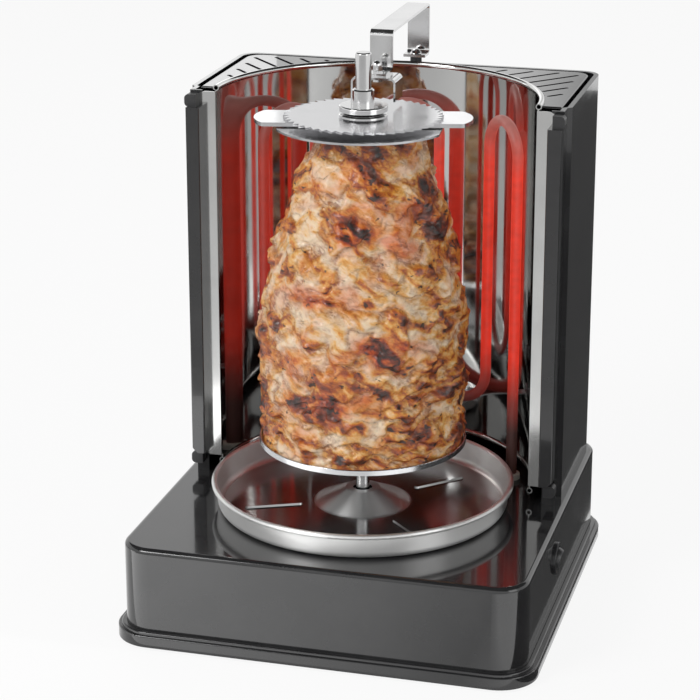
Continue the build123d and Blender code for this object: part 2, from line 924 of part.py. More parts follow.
def support_arm():
    """Bent steel strip that reaches from the back of the top to the skewer."""
    half = arm_sheet / 2
    foot_z = column_top_z + arm_foot_lift + half
    low_front_z = fork_top_z + half
    points = [
        (arm_back_y - arm_foot_length, foot_z),
        (arm_back_y - half, foot_z),
        (arm_back_y - half, arm_top_z - half),
        (arm_front_y + half, arm_top_z - half),
        (arm_front_y + half, low_front_z),
        (fork_front_y + arm_tongue, low_front_z),
    ]
    arm = strip(points, arm_bend, arm_width, arm_sheet)
    screw_hole = screw_radius + hole_clearance
    arm -= rod(screw_hole, foot_z - arm_sheet, foot_z + arm_sheet, 0, arm_screw_y)
    bolt_hole = fork_bolt_radius + hole_clearance
    arm -= rod(bolt_hole, low_front_z - arm_sheet, low_front_z + arm_sheet, 0, fork_bolt_y)
    return arm


def arm_spacer():
    """Round spacer between the top plate and the arm's foot."""
    top = column_top_z + arm_foot_lift
    spacer = rod(arm_spacer_radius, column_top_z, top, 0, arm_screw_y)
    return spacer - rod(screw_radius + hole_clearance, column_top_z, top, 0, arm_screw_y)


def arm_screw():
    """Dome-head screw through the arm's foot, with its nut under the top plate."""
    seat_z = column_top_z + arm_foot_lift + arm_sheet
    ball_radius = (dome_radius**2 + dome_height**2) / (2 * dome_height)
    ball = seat(0, 0, seat_z + dome_height - ball_radius) * Sphere(ball_radius)
    dome = ball & rod(dome_radius, seat_z, seat_z + 2 * dome_height)
    nut_top = column_top_z - top_plate_sheet
    shank = rod(screw_radius, nut_top - arm_screw_tip, seat_z)
    hexagon = extrude(RegularPolygon(2 * screw_radius, 6), arm_nut_height)
    nut = seat(0, 0, nut_top - arm_nut_height) * hexagon
    return seat(0, arm_screw_y, 0) * (dome + shank + nut)


def guide_fork():
    """Inverted U that hangs from the arm just above the toothed disc."""
    half = fork_width / 2 - fork_sheet / 2
    top = fork_top_z - fork_sheet / 2
    path = FilletPolyline(
        (-half, fork_front_y, fork_leg_end_z),
        (-half, fork_front_y, top),
        (half, fork_front_y, top),
        (half, fork_front_y, fork_leg_end_z),
        radius=fork_bend,
    )
    depth = fork_back_y - fork_front_y
    plane = Plane(origin=(-half, fork_front_y, fork_leg_end_z), x_dir=(1, 0, 0), z_dir=(0, 0, 1))
    fork = sweep(plane * Pos(0, depth / 2) * Rectangle(fork_sheet, depth), path=path)
    bolt_hole = fork_bolt_radius + hole_clearance
    return fork - rod(bolt_hole, top - fork_sheet, top + fork_sheet, 0, fork_bolt_y)


def fork_bolt():
    """Bolt from below with its head under the fork."""
    low = fork_top_z - fork_sheet
    shank = rod(fork_bolt_radius, low, fork_top_z + arm_sheet + cap_nut_height, 0, fork_bolt_y)
    hexagon = extrude(RegularPolygon(cap_nut_radius, 6), hex_nut_height)
    return shank + seat(0, fork_bolt_y, low - hex_nut_height) * hexagon


def cap_nut():
    """Domed nut on top of the arm's front foot."""
    low = fork_top_z + arm_sheet
    hexagon = seat(0, 0, low) * extrude(RegularPolygon(cap_nut_radius, 6), cap_nut_height)
    dome = seat(0, 0, low + cap_nut_height) * Sphere(cap_nut_radius * cap_nut_dome)
    dome -= rod(2 * cap_nut_radius, low - 2 * cap_nut_height, low + cap_nut_height)
    nut = hexagon + dome
    nut -= rod(fork_bolt_radius + screw_clearance, low, low + cap_nut_height)
    return seat(0, fork_bolt_y, 0) * nut


# ================================================================ skewer
def saw_disc(radius, teeth, depth):
    """Flat outline with slanted saw teeth round its edge."""
    points = []
    step = 2 * pi / teeth
    for index in range(teeth):
        tip = index * step
        root = tip + disc_tooth_rake * step
        points.append((radius * cos(tip), radius * sin(tip)))
        points.append(((radius - depth) * cos(root), (radius - depth) * sin(root)))
    return make_face(Polyline(*points, close=True))


def skewer_rod():
    """Round spit with a square tang below and a stepped pin above."""
    ring_top = disc_top_z + ring_lower_height + ring_groove + ring_upper_height
    shaft = rod(shaft_radius, socket_top_z, ring_top)
    tang_low = socket_top_z - tang_length
    tang = seat(0, 0, tang_low) * extrude(Rectangle(tang_side, tang_side), tang_length)
    tang = chamfer(edges_at(tang, tang_low), tang_chamfer)
    shoulder = rod(shoulder_radius, ring_top, ring_top + shoulder_height)
    shoulder = chamfer(edges_at(shoulder, ring_top + shoulder_height), shoulder_chamfer)
    pin = rod(pin_radius, ring_top + shoulder_height, pin_top_z)
    pin = fillet(edges_at(pin, pin_top_z), pin_round)
    return seat(0, spindle_y, 0) * (shaft + tang + shoulder + pin)


def lower_plate():
    """Round plate with a turned-up edge that the meat stands on."""
    top = lower_plate_top_z
    low = top - lower_plate_sheet
    plate = rod(lower_plate_radius, low, top)
    lip = ring_section(lower_plate_radius, top, top + lower_plate_lip, lower_plate_sheet)
    lip = fillet(edges_at(lip, top + lower_plate_lip), lower_plate_lip_round)
    boss = rod(boss_radius, low - boss_height, low)
    boss = chamfer(edges_at(boss, low - boss_height), boss_chamfer)
    dish = plate + lip + boss
    return seat(0, spindle_y, 0) * (dish - rod(shaft_radius, low - boss_height, top))


def toothed_disc():
    """Upper saw-toothed disc."""
    outline = saw_disc(disc_radius, disc_teeth, disc_tooth_depth)
    blank = seat(0, 0, disc_bottom_z) * extrude(outline, disc_sheet)
    return seat(0, spindle_y, 0) * (blank - rod(shaft_radius, disc_bottom_z, disc_top_z))


def ear_outline(inset):
    """Oblong with bowed ends and small round corners."""
    half_length = ear_length / 2 - inset
    half_width = ear_width / 2 - inset
    bow = ear_end_radius - sqrt(ear_end_radius**2 - half_width**2)
    square = half_length - bow
    outline = (
        Line((-square, -half_width), (square, -half_width))
        + ThreePointArc((square, -half_width), (half_length, 0), (square, half_width))
        + Line((square, half_width), (-square, half_width))
        + ThreePointArc((-square, half_width), (-half_length, 0), (-square, -half_width))
    )
    face = make_face(outline)
    return fillet(face.vertices(), ear_corner)


def ear_plate():
    """Oblong plate with bowed ends and a pressed edge, under the toothed disc."""
    plate = seat(0, 0, ear_bottom_z) * extrude(ear_outline(0), ear_sheet)
    rim = ear_outline(0) - ear_outline(2 * ear_rib)
    skirt = seat(0, 0, ear_bottom_z - ear_rib) * extrude(rim, ear_rib)
    shape = plate + skirt - rod(shaft_radius, ear_bottom_z - ear_rib, disc_bottom_z)
    return seat(0, spindle_y, 0) * Rot(0, 0, ear_turn) * shape


def grip_plate():
    """Round plate with two flats, pressed down on the meat."""
    blank = rod(grip_radius, grip_bottom_z, grip_top_z)
    blank &= block(-grip_flat, grip_flat, -grip_radius, grip_radius, grip_bottom_z, grip_top_z)
    blank += rod(ring_neck_radius, grip_top_z, ear_bottom_z)
    blank -= rod(shaft_radius, grip_bottom_z, ear_bottom_z)
    return seat(0, spindle_y, 0) * Rot(0, 0, grip_turn) * blank


def clamp_ring():
    """Grooved clamping ring on top of the toothed disc."""
    low = disc_top_z
    lower = rod(ring_radius, low, low + ring_lower_height)
    lower = chamfer(edges_at(lower, low + ring_lower_height), ring_chamfer)
    groove_top = low + ring_lower_height + ring_groove
    neck = rod(ring_neck_radius, low, groove_top)
    upper = rod(ring_radius, groove_top, groove_top + ring_upper_height)
    upper = fillet(edges_at(upper, groove_top + ring_upper_height), ring_round)
    ring = lower + neck + upper - rod(shaft_radius, low, groove_top + ring_upper_height)
    return seat(0, spindle_y, 0) * ring


def clamp_nut():
    """Hexagon nut under the grip plate."""
    hexagon = RegularPolygon(nut_across / 2, 6, major_radius=False)
    nut = seat(0, 0, nut_bottom_z) * extrude(hexagon, nut_height)
    nut -= rod(shaft_radius, nut_bottom_z, grip_bottom_z)
    return seat(0, spindle_y, 0) * nut


def meat_outline(share):
    """Closed outline of the stack at a share of its height, with one arc for each lobe."""
    taper = max(0.0, (share - meat_taper_start) / (1 - meat_taper_start))
    fade = min(1.0, max(0.0, share - meat_lip_share) / meat_foot_share)
    mean_radius = meat_foot_radius + meat_belly * fade - meat_taper * taper**meat_taper_power
    points = []
    for index in range(2 * meat_lobes):
        angle = pi * index / meat_lobes
        wave = cos(meat_climb * share + meat_lobe_phase * index)
        valley = 1 - index % 2
        swell = meat_wave_share * wave - (1 - meat_wave_share) * valley
        radius = mean_radius + meat_relief * fade * swell
        points.append((radius * cos(angle), radius * sin(angle)))
    points.append(points[0])
    arcs = [ThreePointArc(*points[first : first + 3]) for first in range(0, 2 * meat_lobes, 2)]
    return Wire(arcs)


def meat():
    """Lumpy stack of roasting meat: narrow at the top, swelling towards the plate."""
    height = meat_top_z - meat_bottom_z
    shares = [0.0, meat_lip_share]
    shares += [index / meat_levels for index in range(1, meat_levels + 1)]
    rings = []
    for share in shares:
        drift = meat_drift * max(0.0, 2 * share - 1) ** 1.5
        rings.append(seat(drift, 0, meat_bottom_z + share * height) * meat_outline(share))
    stack = Solid.make_loft(rings)
    stack -= rod(shaft_radius, meat_bottom_z, meat_top_z)
    nut_room = extrude(RegularPolygon(nut_across / 2 + meat_gap, 6, major_radius=False), nut_height)
    stack -= seat(0, 0, nut_bottom_z) * nut_room
    return seat(0, spindle_y, 0) * stack


# ================================================================ electrics
def switch_body():
    """Round mains switch: bezel, threaded body and two lugs."""
    bezel = Cylinder(switch_bezel_radius, switch_bezel_height)
    bezel = fillet(bezel.edges().group_by(Axis.Z)[-1], bezel_round)
    body_middle = -switch_bezel_height / 2 - switch_body_depth / 2
    body = seat(0, 0, body_middle) * Cylinder(switch_body_radius, switch_body_depth)
    top = switch_bezel_height / 2
    well = seat(0, 0, top - switch_well_depth / 2) * Cylinder(switch_well_radius, switch_well_depth)
    switch = bezel + body - well
    for side in (-1, 1):
        lug = Box(lug_width, lug_sheet, lug_length)
        lug_z = body_middle - switch_body_depth / 2 - lug_length / 2
        switch += seat(0, side * lug_offset, lug_z) * lug
    pin_bore = rocker_pin_radius + running_clearance
    pin_hole = Rot(90, 0, 0) * Cylinder(pin_bore, 2 * (switch_well_radius + rocker_pin_radius))
    pivot = rocker_pivot_depth()
    switch -= seat(0, 0, top - pivot) * pin_hole
    place = seat(base_width / 2 + switch_bezel_height / 2, switch_y, switch_z)
    return place * Rot(0, 90, 0) * switch


def rocker_pivot_depth():
    """Depth of the rocker's axis below the face of the bezel."""
    return switch_bezel_height + rocker_pivot_drop


def switch_rocker():
    """Round rocker cut from a ball, with two faces that meet in a shallow valley."""
    ball_radius = switch_well_radius - rocker_gap
    ball = Sphere(ball_radius)
    tall = 2 * ball_radius
    for side in (-1, 1):
        lid = seat(side * tall / 2, 0, rocker_reach + tall / 2) * Box(tall, 2 * tall, tall)
        ball -= Rot(0, -side * rocker_tilt, 0) * lid
    ball -= seat(0, 0, -tall / 2 - rocker_back) * Box(2 * tall, 2 * tall, tall)
    pins = Rot(90, 0, 0) * Cylinder(rocker_pin_radius, 2 * (ball_radius + rocker_pin_length))
    reach = switch_well_radius + rocker_pin_room
    pins &= Box(4 * rocker_pin_radius, 2 * reach, 4 * rocker_pin_radius)
    rocker = Rot(0, rocker_tilt, 0) * (ball + pins)
    depth = rocker_pivot_depth()
    place = seat(base_width / 2 + switch_bezel_height - depth, switch_y, switch_z)
    return place * Rot(0, 90, 0) * rocker


def cord_gland():
    """Short gland in the back wall for the mains lead."""
    flange = Cylinder(gland_radius, gland_rise)
    flange = fillet(flange.edges().group_by(Axis.Z)[-1], gland_round)
    neck = seat(0, 0, -gland_rise / 2 - gland_depth / 2) * Cylinder(gland_neck_radius, gland_depth)
    gland = flange + neck - Cylinder(gland_bore, 4 * gland_depth)
    place = seat(gland_x, base_depth / 2 + gland_rise / 2, gland_z)
    return place * Rot(-90, 0, 0) * gland


def terminal_block():
    """Ceramic connector block on the floor of the pan."""
    low = shell_bottom_z
    half_length = block_length / 2
    half_width = block_width / 2
    body = block(-half_length, half_length, -half_width, half_width, low, low + block_height)
    step = block_length / block_ways
    for index in range(block_ways):
        x = (index + 0.5) * step - half_length
        body -= rod(way_screw_radius, low + block_height / 2, low + block_height, x)
        way = Rot(90, 0, 0) * Cylinder(way_bore_radius, block_width)
        body -= seat(x, 0, low + block_height / 2 - way_drop) * way
    return seat(block_x, block_y, 0) * body


def thermal_cutout():
    """Overheat switch clipped to the back of the mirror."""
    back = mirror_y + mirror_outer + cutout_gap
    disc = Rot(90, 0, 0) * Cylinder(cutout_radius, cutout_height)
    lugs = Box(cutout_lug_span, cutout_lug_sheet, cutout_lug_height)
    body = seat(0, back + cutout_height / 2, cutout_z) * disc
    return body + seat(0, back + cutout_height, cutout_z) * lugs


# ================================================================ writing
save("base_pan", base_pan())
save("base_shell", base_shell())
save("rubber_feet", rubber_feet())
save("base_screws", base_screws())
save("spindle_bush", spindle_bush())
save("drive_socket", drive_socket())
save("motor_shaft", motor_shaft())
save("gear_motor", gear_motor())
save("motor_plate", motor_plate())
save("motor_screws", motor_screws())
save("drip_tray", drip_tray())
save("column_shell", column_shell())
save("top_plate", top_plate())
save("reflector", reflector())
save("left_front_post", front_post(-1))
save("right_front_post", front_post(1))
save("post_sockets", post_sockets())
save("heating_rod", heating_rod())
save("rod_collars", rod_collars())
save("rod_clips", rod_clips())
save("support_arm", support_arm())
save("arm_spacer", arm_spacer())
save("arm_screw", arm_screw())
save("guide_fork", guide_fork())
save("fork_bolt", fork_bolt())
save("cap_nut", cap_nut())
save("skewer_rod", skewer_rod())
save("lower_plate", lower_plate())
save("toothed_disc", toothed_disc())
save("ear_plate", ear_plate())
save("grip_plate", grip_plate())
save("clamp_ring", clamp_ring())
save("clamp_nut", clamp_nut())
save("meat", meat())
save("switch_body", switch_body())
save("switch_rocker", switch_rocker())
save("cord_gland", cord_gland())
save("terminal_block", terminal_block())
save("thermal_cutout", thermal_cutout())
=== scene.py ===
# %% [markdown]
# # Electric skewer grill
# A stack of meat turns on an upright skewer in front of a half-round polished mirror, and one
# bent heating rod glows between the two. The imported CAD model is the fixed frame: every piece
# keeps its place, and this lesson gives the pieces their finishes. It remakes one of them, the
# meat, because its real surface is far richer than a plain solid.

# %% Load the frame
import math

import bmesh
import bpy
import numpy as np
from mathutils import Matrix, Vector, noise


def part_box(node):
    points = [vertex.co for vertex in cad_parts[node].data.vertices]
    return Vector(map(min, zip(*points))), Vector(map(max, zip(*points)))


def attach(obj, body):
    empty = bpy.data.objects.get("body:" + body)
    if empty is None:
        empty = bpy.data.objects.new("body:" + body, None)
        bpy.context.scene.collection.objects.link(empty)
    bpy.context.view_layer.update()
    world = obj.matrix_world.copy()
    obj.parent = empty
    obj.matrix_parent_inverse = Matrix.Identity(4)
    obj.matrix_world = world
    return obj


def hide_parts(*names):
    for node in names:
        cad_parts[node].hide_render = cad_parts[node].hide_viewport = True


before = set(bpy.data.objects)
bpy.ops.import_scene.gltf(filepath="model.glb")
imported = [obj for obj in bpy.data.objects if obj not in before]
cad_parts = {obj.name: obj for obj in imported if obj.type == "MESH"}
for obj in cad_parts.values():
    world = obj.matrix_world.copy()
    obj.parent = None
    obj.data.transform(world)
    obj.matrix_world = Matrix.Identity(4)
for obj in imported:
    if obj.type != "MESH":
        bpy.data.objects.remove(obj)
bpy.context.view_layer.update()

MM = 0.001

# %% [markdown]
# ## Camera
# The photograph was taken with a long lens from the right and a little above. The camera stands
# on a sphere round a point near the middle of the object, given by two angles and a distance. A
# small upward or downward shift of the lens moves the object in the frame without turning the
# camera, so the perspective stays as it is.

# %% Camera
AZIMUTH = math.radians(15.17)
ELEVATION = math.radians(17.48)
DISTANCE = 1.6719
AIM = Vector((-0.0154, 0.0, 0.2226))
SENSOR_WIDTH = 36.0
FOCAL_LENGTH = 120.25
LENS_SHIFT = -0.08
FARTHEST_SEEN = 50.0

camera_data = bpy.data.cameras.new("camera")
camera_data.sensor_width = SENSOR_WIDTH
camera_data.lens = FOCAL_LENGTH
camera_data.shift_y = LENS_SHIFT
camera_data.clip_end = FARTHEST_SEEN
camera = bpy.data.objects.new("camera", camera_data)
bpy.context.scene.collection.objects.link(camera)
towards_camera = Vector((
    math.sin(AZIMUTH) * math.cos(ELEVATION),
    -math.cos(AZIMUTH) * math.cos(ELEVATION),
    math.sin(ELEVATION),
))
camera.location = AIM + towards_camera * DISTANCE
camera.rotation_euler = (-towards_camera).to_track_quat("-Z", "Y").to_euler()
bpy.context.scene.camera = camera
bpy.context.scene.view_settings.view_transform = "Standard"
print("camera at", [round(c, 3) for c in camera.location])

# %% [markdown]
# ## Colours
# Shaders count in linear light, while a colour read off a screen is bent by a curve. Colours
# that were judged are written as screen values and straightened here. Most of this object
# is grey, so a grey is one number, with a second for its blue where it is a little warm or cool.

# %% Colours
WHITE = (1.0, 1.0, 1.0)


def linear(red, green, blue):
    """A colour written as 0 to 255 screen values, as the linear colour that shaders use."""
    shares = [c / 255 for c in (red, green, blue)]
    return tuple(c / 12.92 if c <= 0.04045 else ((c + 0.055) / 1.055) ** 2.4 for c in shares)


def grey(level, blue=None):
    """A grey of one linear level, with its own level of blue where that differs."""
    return (level, level, level if blue is None else blue)


print("a screen grey of 128 is", round(linear(128, 128, 128)[0], 3), "in linear light")

# %% [markdown]
# ## Finishes
# Every finish of the object is one Principled shader with a few texture nodes in front of it.
# The class adds a node or two with each call, so that a finish reads as a short list: what the
# colour is, what breaks it up, and what makes the surface uneven. All patterns read Object
# coordinates, which are metres here, so a noise scale of 1000 has features about one millimetre
# across.

# %% A class for finishes
class Finish:
    """A new material with one Principled shader, and calls that add nodes in front of it."""

    def __init__(self, name, colour, roughness, metallic=0.0, **constants):
        self.material = bpy.data.materials.new(name)
        self.material.use_nodes = True
        self.tree = self.material.node_tree
        self.shader = self.tree.nodes["Principled BSDF"]
        self.shader.inputs["Base Color"].default_value = (*colour, 1.0)
        self.shader.inputs["Roughness"].default_value = roughness
        self.shader.inputs["Metallic"].default_value = metallic
        for socket, value in constants.items():
            self.shader.inputs[socket.replace("_", " ")].default_value = value
        self.place = self.add("ShaderNodeTexCoord").outputs["Object"]

    def add(self, kind, **values):
        """A new node with some of its inputs set by name."""
        node = self.tree.nodes.new(kind)
        for socket, value in values.items():
            node.inputs[socket.replace("_", " ")].default_value = value
        return node

    def join(self, output, target):
        """A link, which takes the place of an older one into the same input."""
        self.tree.links.new(output, target)

    def set(self, socket, output):
        """A link into the shader itself."""
        self.join(output, self.shader.inputs[socket])

    def feed(self, socket, value):
        """An input given either by another node's output or by a plain value."""
        if isinstance(value, bpy.types.NodeSocket):
            self.join(value, socket)
        else:
            socket.default_value = value

    def stretched(self, scale, slant=0.0):
        """Coordinates times a scale, after a turn about the Y axis that tips level bands over."""
        mapping = self.add("ShaderNodeMapping")
        mapping.vector_type = "TEXTURE"
        mapping.inputs["Rotation"].default_value = (0.0, slant, 0.0)
        mapping.inputs["Scale"].default_value = [1.0 / s for s in scale]
        self.join(self.place, mapping.inputs["Vector"])
        return mapping.outputs["Vector"]

    def axis(self, letter):
        """One coordinate, in metres."""
        node = self.add("ShaderNodeSeparateXYZ")
        self.join(self.place, node.inputs[0])
        return node.outputs[letter]

    def reach(self, x, y):
        """The distance from an upright line, in metres."""
        mapping = self.add("ShaderNodeMapping", Location=(-x, -y, 0.0), Scale=(1.0, 1.0, 0.0))
        self.join(self.place, mapping.inputs["Vector"])
        length = self.add("ShaderNodeVectorMath")
        length.operation = "LENGTH"
        self.join(mapping.outputs["Vector"], length.inputs[0])
        return length.outputs["Value"]

    def combine(self, kind, first, second):
        """Two numbers joined by ADD, MULTIPLY or another kind of sum."""
        node = self.add("ShaderNodeMath")
        node.operation = kind
        self.feed(node.inputs[0], first)
        self.feed(node.inputs[1], second)
        return node.outputs[0]

    def noise(self, scale, detail=3.0, stretch=(1, 1, 1), distortion=0.0, slant=0.0):
        """Cloudy noise. A stretch above one packs its features closer along that axis."""
        texture = self.add("ShaderNodeTexNoise", Scale=scale, Detail=detail, Distortion=distortion)
        self.join(self.stretched(stretch, slant), texture.inputs["Vector"])
        return texture.outputs["Fac"]

    def spread(self, source, low, high, start=0.3, end=0.7):
        """A source that runs from start to end, mapped to low to high and held at both ends."""
        span = self.add("ShaderNodeMapRange")
        for socket, value in {"From Min": start, "From Max": end, "To Min": low, "To Max": high}.items():
            span.inputs[socket].default_value = value
        self.join(source, span.inputs["Value"])
        return span.outputs["Result"]

    def ramp(self, source, stops):
        """Colours at given places of a source, blended in between."""
        node = self.add("ShaderNodeValToRGB")
        elements = node.color_ramp.elements
        while len(elements) < len(stops):
            elements.new(0.5)
        for element, (position, colour) in zip(elements, stops):
            element.position = position
            element.color = (*colour, 1.0)
        self.join(source, node.inputs["Fac"])
        return node.outputs["Color"]

    def blend(self, share, first, second, kind="MIX"):
        """Two colours mixed by a share, where a plain colour has three parts."""
        node = self.tree.nodes.new("ShaderNodeMix")
        node.data_type = "RGBA"
        node.blend_type = kind
        self.feed(node.inputs[0], share)
        for socket, colour in ((node.inputs[6], first), (node.inputs[7], second)):
            self.feed(socket, (*colour, 1.0) if isinstance(colour, tuple) else colour)
        return node.outputs[2]

    def bump(self, height, depth, strength=1.0, onto=None):
        """A bumpy normal from a height, with a depth in metres, laid onto another one."""
        node = self.add("ShaderNodeBump", Strength=strength, Distance=depth)
        self.join(height, node.inputs["Height"])
        if onto is not None:
            self.join(onto, node.inputs["Normal"])
        return node.outputs["Normal"]


def dress(finish, *names):
    """Puts a finish on CAD nodes by name, in every slot that they have."""
    for name in names:
        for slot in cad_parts[name].material_slots:
            slot.material = finish.material
    print(finish.material.name, "on", ", ".join(names))


print("finish calls ready")

# %% [markdown]
# ## World
# The background of the photograph is plain white, but a white world would also wash out every
# dark surface. So the world has two strengths. Rays that come from the camera, and those that
# come off metal and glass, meet plain white. All others meet a dimmer light, which is the soft
# light from all round.

# %% World
AMBIENT = 0.34


def ray_is_seen(tree):
    """One where a ray comes from the camera, a mirror or a glass, and nought elsewhere."""
    path = tree.nodes.new("ShaderNodeLightPath")
    total = path.outputs["Is Camera Ray"]
    for name in ("Is Glossy Ray", "Is Transmission Ray"):
        larger = tree.nodes.new("ShaderNodeMath")
        larger.operation = "MAXIMUM"
        tree.links.new(total, larger.inputs[0])
        tree.links.new(path.outputs[name], larger.inputs[1])
        total = larger.outputs[0]
    return total


def mix_into(tree, share, first, second, end):
    """Two shaders mixed by a share and joined to the end of a tree."""
    mixer = tree.nodes.new("ShaderNodeMixShader")
    tree.links.new(share, mixer.inputs["Fac"])
    tree.links.new(first.outputs[0], mixer.inputs[1])
    tree.links.new(second.outputs[0], mixer.inputs[2])
    tree.links.new(mixer.outputs[0], tree.nodes[end].inputs["Surface"])


def even_light(node, strength):
    """A white background or emission node of a given strength."""
    node.inputs["Color"].default_value = (*WHITE, 1.0)
    node.inputs["Strength"].default_value = strength
    return node


world = bpy.data.worlds.new("studio")
bpy.context.scene.world = world
world.use_nodes = True
world_tree = world.node_tree
ambient = even_light(world_tree.nodes["Background"], AMBIENT)
seen_white = even_light(world_tree.nodes.new("ShaderNodeBackground"), 1.0)
mix_into(world_tree, ray_is_seen(world_tree), ambient, seen_white, "World Output")
print("world lights with", AMBIENT, "and shows white")

# %% [markdown]
# ## Floor
# A plain pale floor carries the object's soft shadow. Rays that are seen meet paper that is
# mostly white light and keeps a tenth of its own shading, which is enough for the shadow.

# %% Floor
FLOOR_WIDTH = 12.0
FLOOR_WHITE = 0.9


def flat_panel(name, width, depth, finish):
    """A flat rectangle, centred on its own origin, with a finish on it."""
    mesh = bpy.data.meshes.new(name)
    sheet = bmesh.new()
    bmesh.ops.create_grid(sheet, x_segments=1, y_segments=1, size=0.5)
    bmesh.ops.scale(sheet, vec=(width, depth, 1.0), verts=sheet.verts)
    sheet.to_mesh(mesh)
    sheet.free()
    mesh.materials.append(finish.material)
    panel = bpy.data.objects.new(name, mesh)
    bpy.context.scene.collection.objects.link(panel)
    return panel


paper = Finish("floor_paper", grey(0.86), roughness=0.9)
glow = even_light(paper.add("ShaderNodeEmission"), 1.0)
white_share = paper.combine("MULTIPLY", ray_is_seen(paper.tree), FLOOR_WHITE)
mix_into(paper.tree, white_share, paper.shader, glow, "Material Output")
floor = flat_panel("floor", FLOOR_WIDTH, FLOOR_WIDTH, paper)
print("floor", FLOOR_WIDTH, "m wide")

# %% [markdown]
# ## Lamps
# Three large soft boxes do the lighting: a key from the front left, a weak fill from the right
# and one from high behind that lights the upturned faces. Large boxes give the soft shadow and
# the broad gradients that a product photograph has.

# %% Lamps
LAMP_AIM = (0.0, 0.0, 0.2)


def soft_lamp(name, place, width, height, power):
    """A rectangular soft box that faces the object."""
    data = bpy.data.lights.new(name, "AREA")
    data.shape = "RECTANGLE"
    data.size, data.size_y = width, height
    data.energy = power
    lamp = bpy.data.objects.new(name, data)
    bpy.context.scene.collection.objects.link(lamp)
    lamp.location = place
    lamp.rotation_euler = (Vector(LAMP_AIM) - Vector(place)).to_track_quat("-Z", "Y").to_euler()
    return lamp


soft_lamp("key", place=(-1.1, -1.5, 1.5), width=0.9, height=0.9, power=25.0)
soft_lamp("fill", place=(1.8, -0.9, 0.9), width=1.0, height=1.4, power=7.0)
soft_lamp("back", place=(-0.5, 1.5, 2.1), width=1.6, height=0.9, power=9.0)

# %% [markdown]
# ## Cards round the set
# Polished steel and gloss enamel only look like themselves when there is something to mirror.
# Photographers stand black and white cards round such a product. These cards do the same: only
# glossy rays meet them, so they light nothing and cast no shadow. A dark ceiling keeps upturned
# edges black. Of the two on the floor in front, the near one gives the front of the base its
# gradient, and the far one is what the upright steel mirrors. Dark cards on both sides calm the
# side walls, and two small cards behind the column turn the top cover grey.

# %% Cards
CARD_TOP_LIGHT = 3.0
CARD_LIFT = 0.0012
UPRIGHT = (90, 0, 0)


def card(name, size, place, tones, along="X", turn=(0, 0, 0)):
    """A flat card with tones of light at shares of its width (along X) or depth (along Y)."""
    finish = Finish(name, grey(0.0), roughness=1.0)
    half = size["XY".index(along)] / 2
    level = finish.spread(finish.axis(along), 0.0, 1.0, -half, half)
    stops = [(where, grey(tone / CARD_TOP_LIGHT)) for where, tone in tones]
    light = finish.add("ShaderNodeEmission", Strength=CARD_TOP_LIGHT)
    finish.join(finish.ramp(level, stops), light.inputs["Color"])
    finish.join(light.outputs[0], finish.tree.nodes["Material Output"].inputs["Surface"])
    panel = flat_panel(name, size[0], size[1], finish)
    panel.location = place
    panel.rotation_euler = [math.radians(a) for a in turn]
    panel.visible_camera = False
    panel.visible_diffuse = False
    panel.visible_transmission = False
    panel.visible_shadow = False
    return panel


card("card_ceiling", size=(4.4, 4.4), place=(0.0, 0.0, 1.7), tones=((0.0, 0.03), (1.0, 0.05)))
card(
    "card_floor_far", size=(3.0, 1.9), place=(0.0, -1.38, CARD_LIFT), along="Y",
    tones=((0.0, 0.5), (0.3, 0.55), (1.0, 0.8)),
)
card(
    "card_floor_near", size=(1.0, 0.2), place=(-0.1, -0.255, 1.5 * CARD_LIFT),
    tones=((0.3, 2.8), (0.45, 2.3), (0.58, 1.7), (0.70, 0.9), (0.75, 1.7)),
)
card(
    "card_right", size=(1.3, 2.0), place=(0.802, 0.70, CARD_LIFT),
    tones=((0.0, 0.06), (1.0, 0.12)),
)
card(
    "card_left", size=(0.9, 1.6), place=(-1.15, 0.1, CARD_LIFT),
    tones=((0.0, 0.10), (1.0, 0.16)),
)
card(
    "card_back_left", size=(0.12, 0.06), place=(-0.205, 0.25, 0.418), turn=UPRIGHT,
    tones=((0.0, 2.0), (1.0, 1.8)),
)
card(
    "card_back_right", size=(0.13, 0.06), place=(0.055, 0.25, 0.418), turn=UPRIGHT,
    tones=((0.2, 1.5), (0.9, 0.6)),
)

# %% [markdown]
# ## Black enamel, plastic and rubber
# The housing is sheet steel in gloss black enamel. A real coat is never flat: it has a faint
# orange peel, a few millimetres from crest to crest, and its gloss varies a little. The pan is
# the same paint, and the small black parts are duller plastic and rubber. They differ only in
# how dark, how dull and how coarse they are, so one function makes them all.

# %% Black finishes
COOL_CAST = 1.06
PATCH_SCALE = 38.0
PALE_PATCH, PALE_PATCH_BLUE = 1.5, 1.55


def black_finish(name, tone, roughness, wander, skin_scale, skin_depth, **constants):
    """A dark coat with a bumpy skin, and broad patches that are a little paler and duller."""
    colour = grey(tone, tone * COOL_CAST)
    finish = Finish(name, colour, roughness, **constants)
    skin = finish.noise(skin_scale, detail=2.0)
    finish.set("Normal", finish.bump(skin, skin_depth, strength=0.6))
    patches = finish.noise(PATCH_SCALE, detail=4.0)
    finish.set("Roughness", finish.spread(patches, roughness - wander, roughness + wander))
    pale = grey(tone * PALE_PATCH, tone * PALE_PATCH_BLUE)
    finish.set("Base Color", finish.ramp(patches, ((0.3, colour), (0.75, pale))))
    return finish


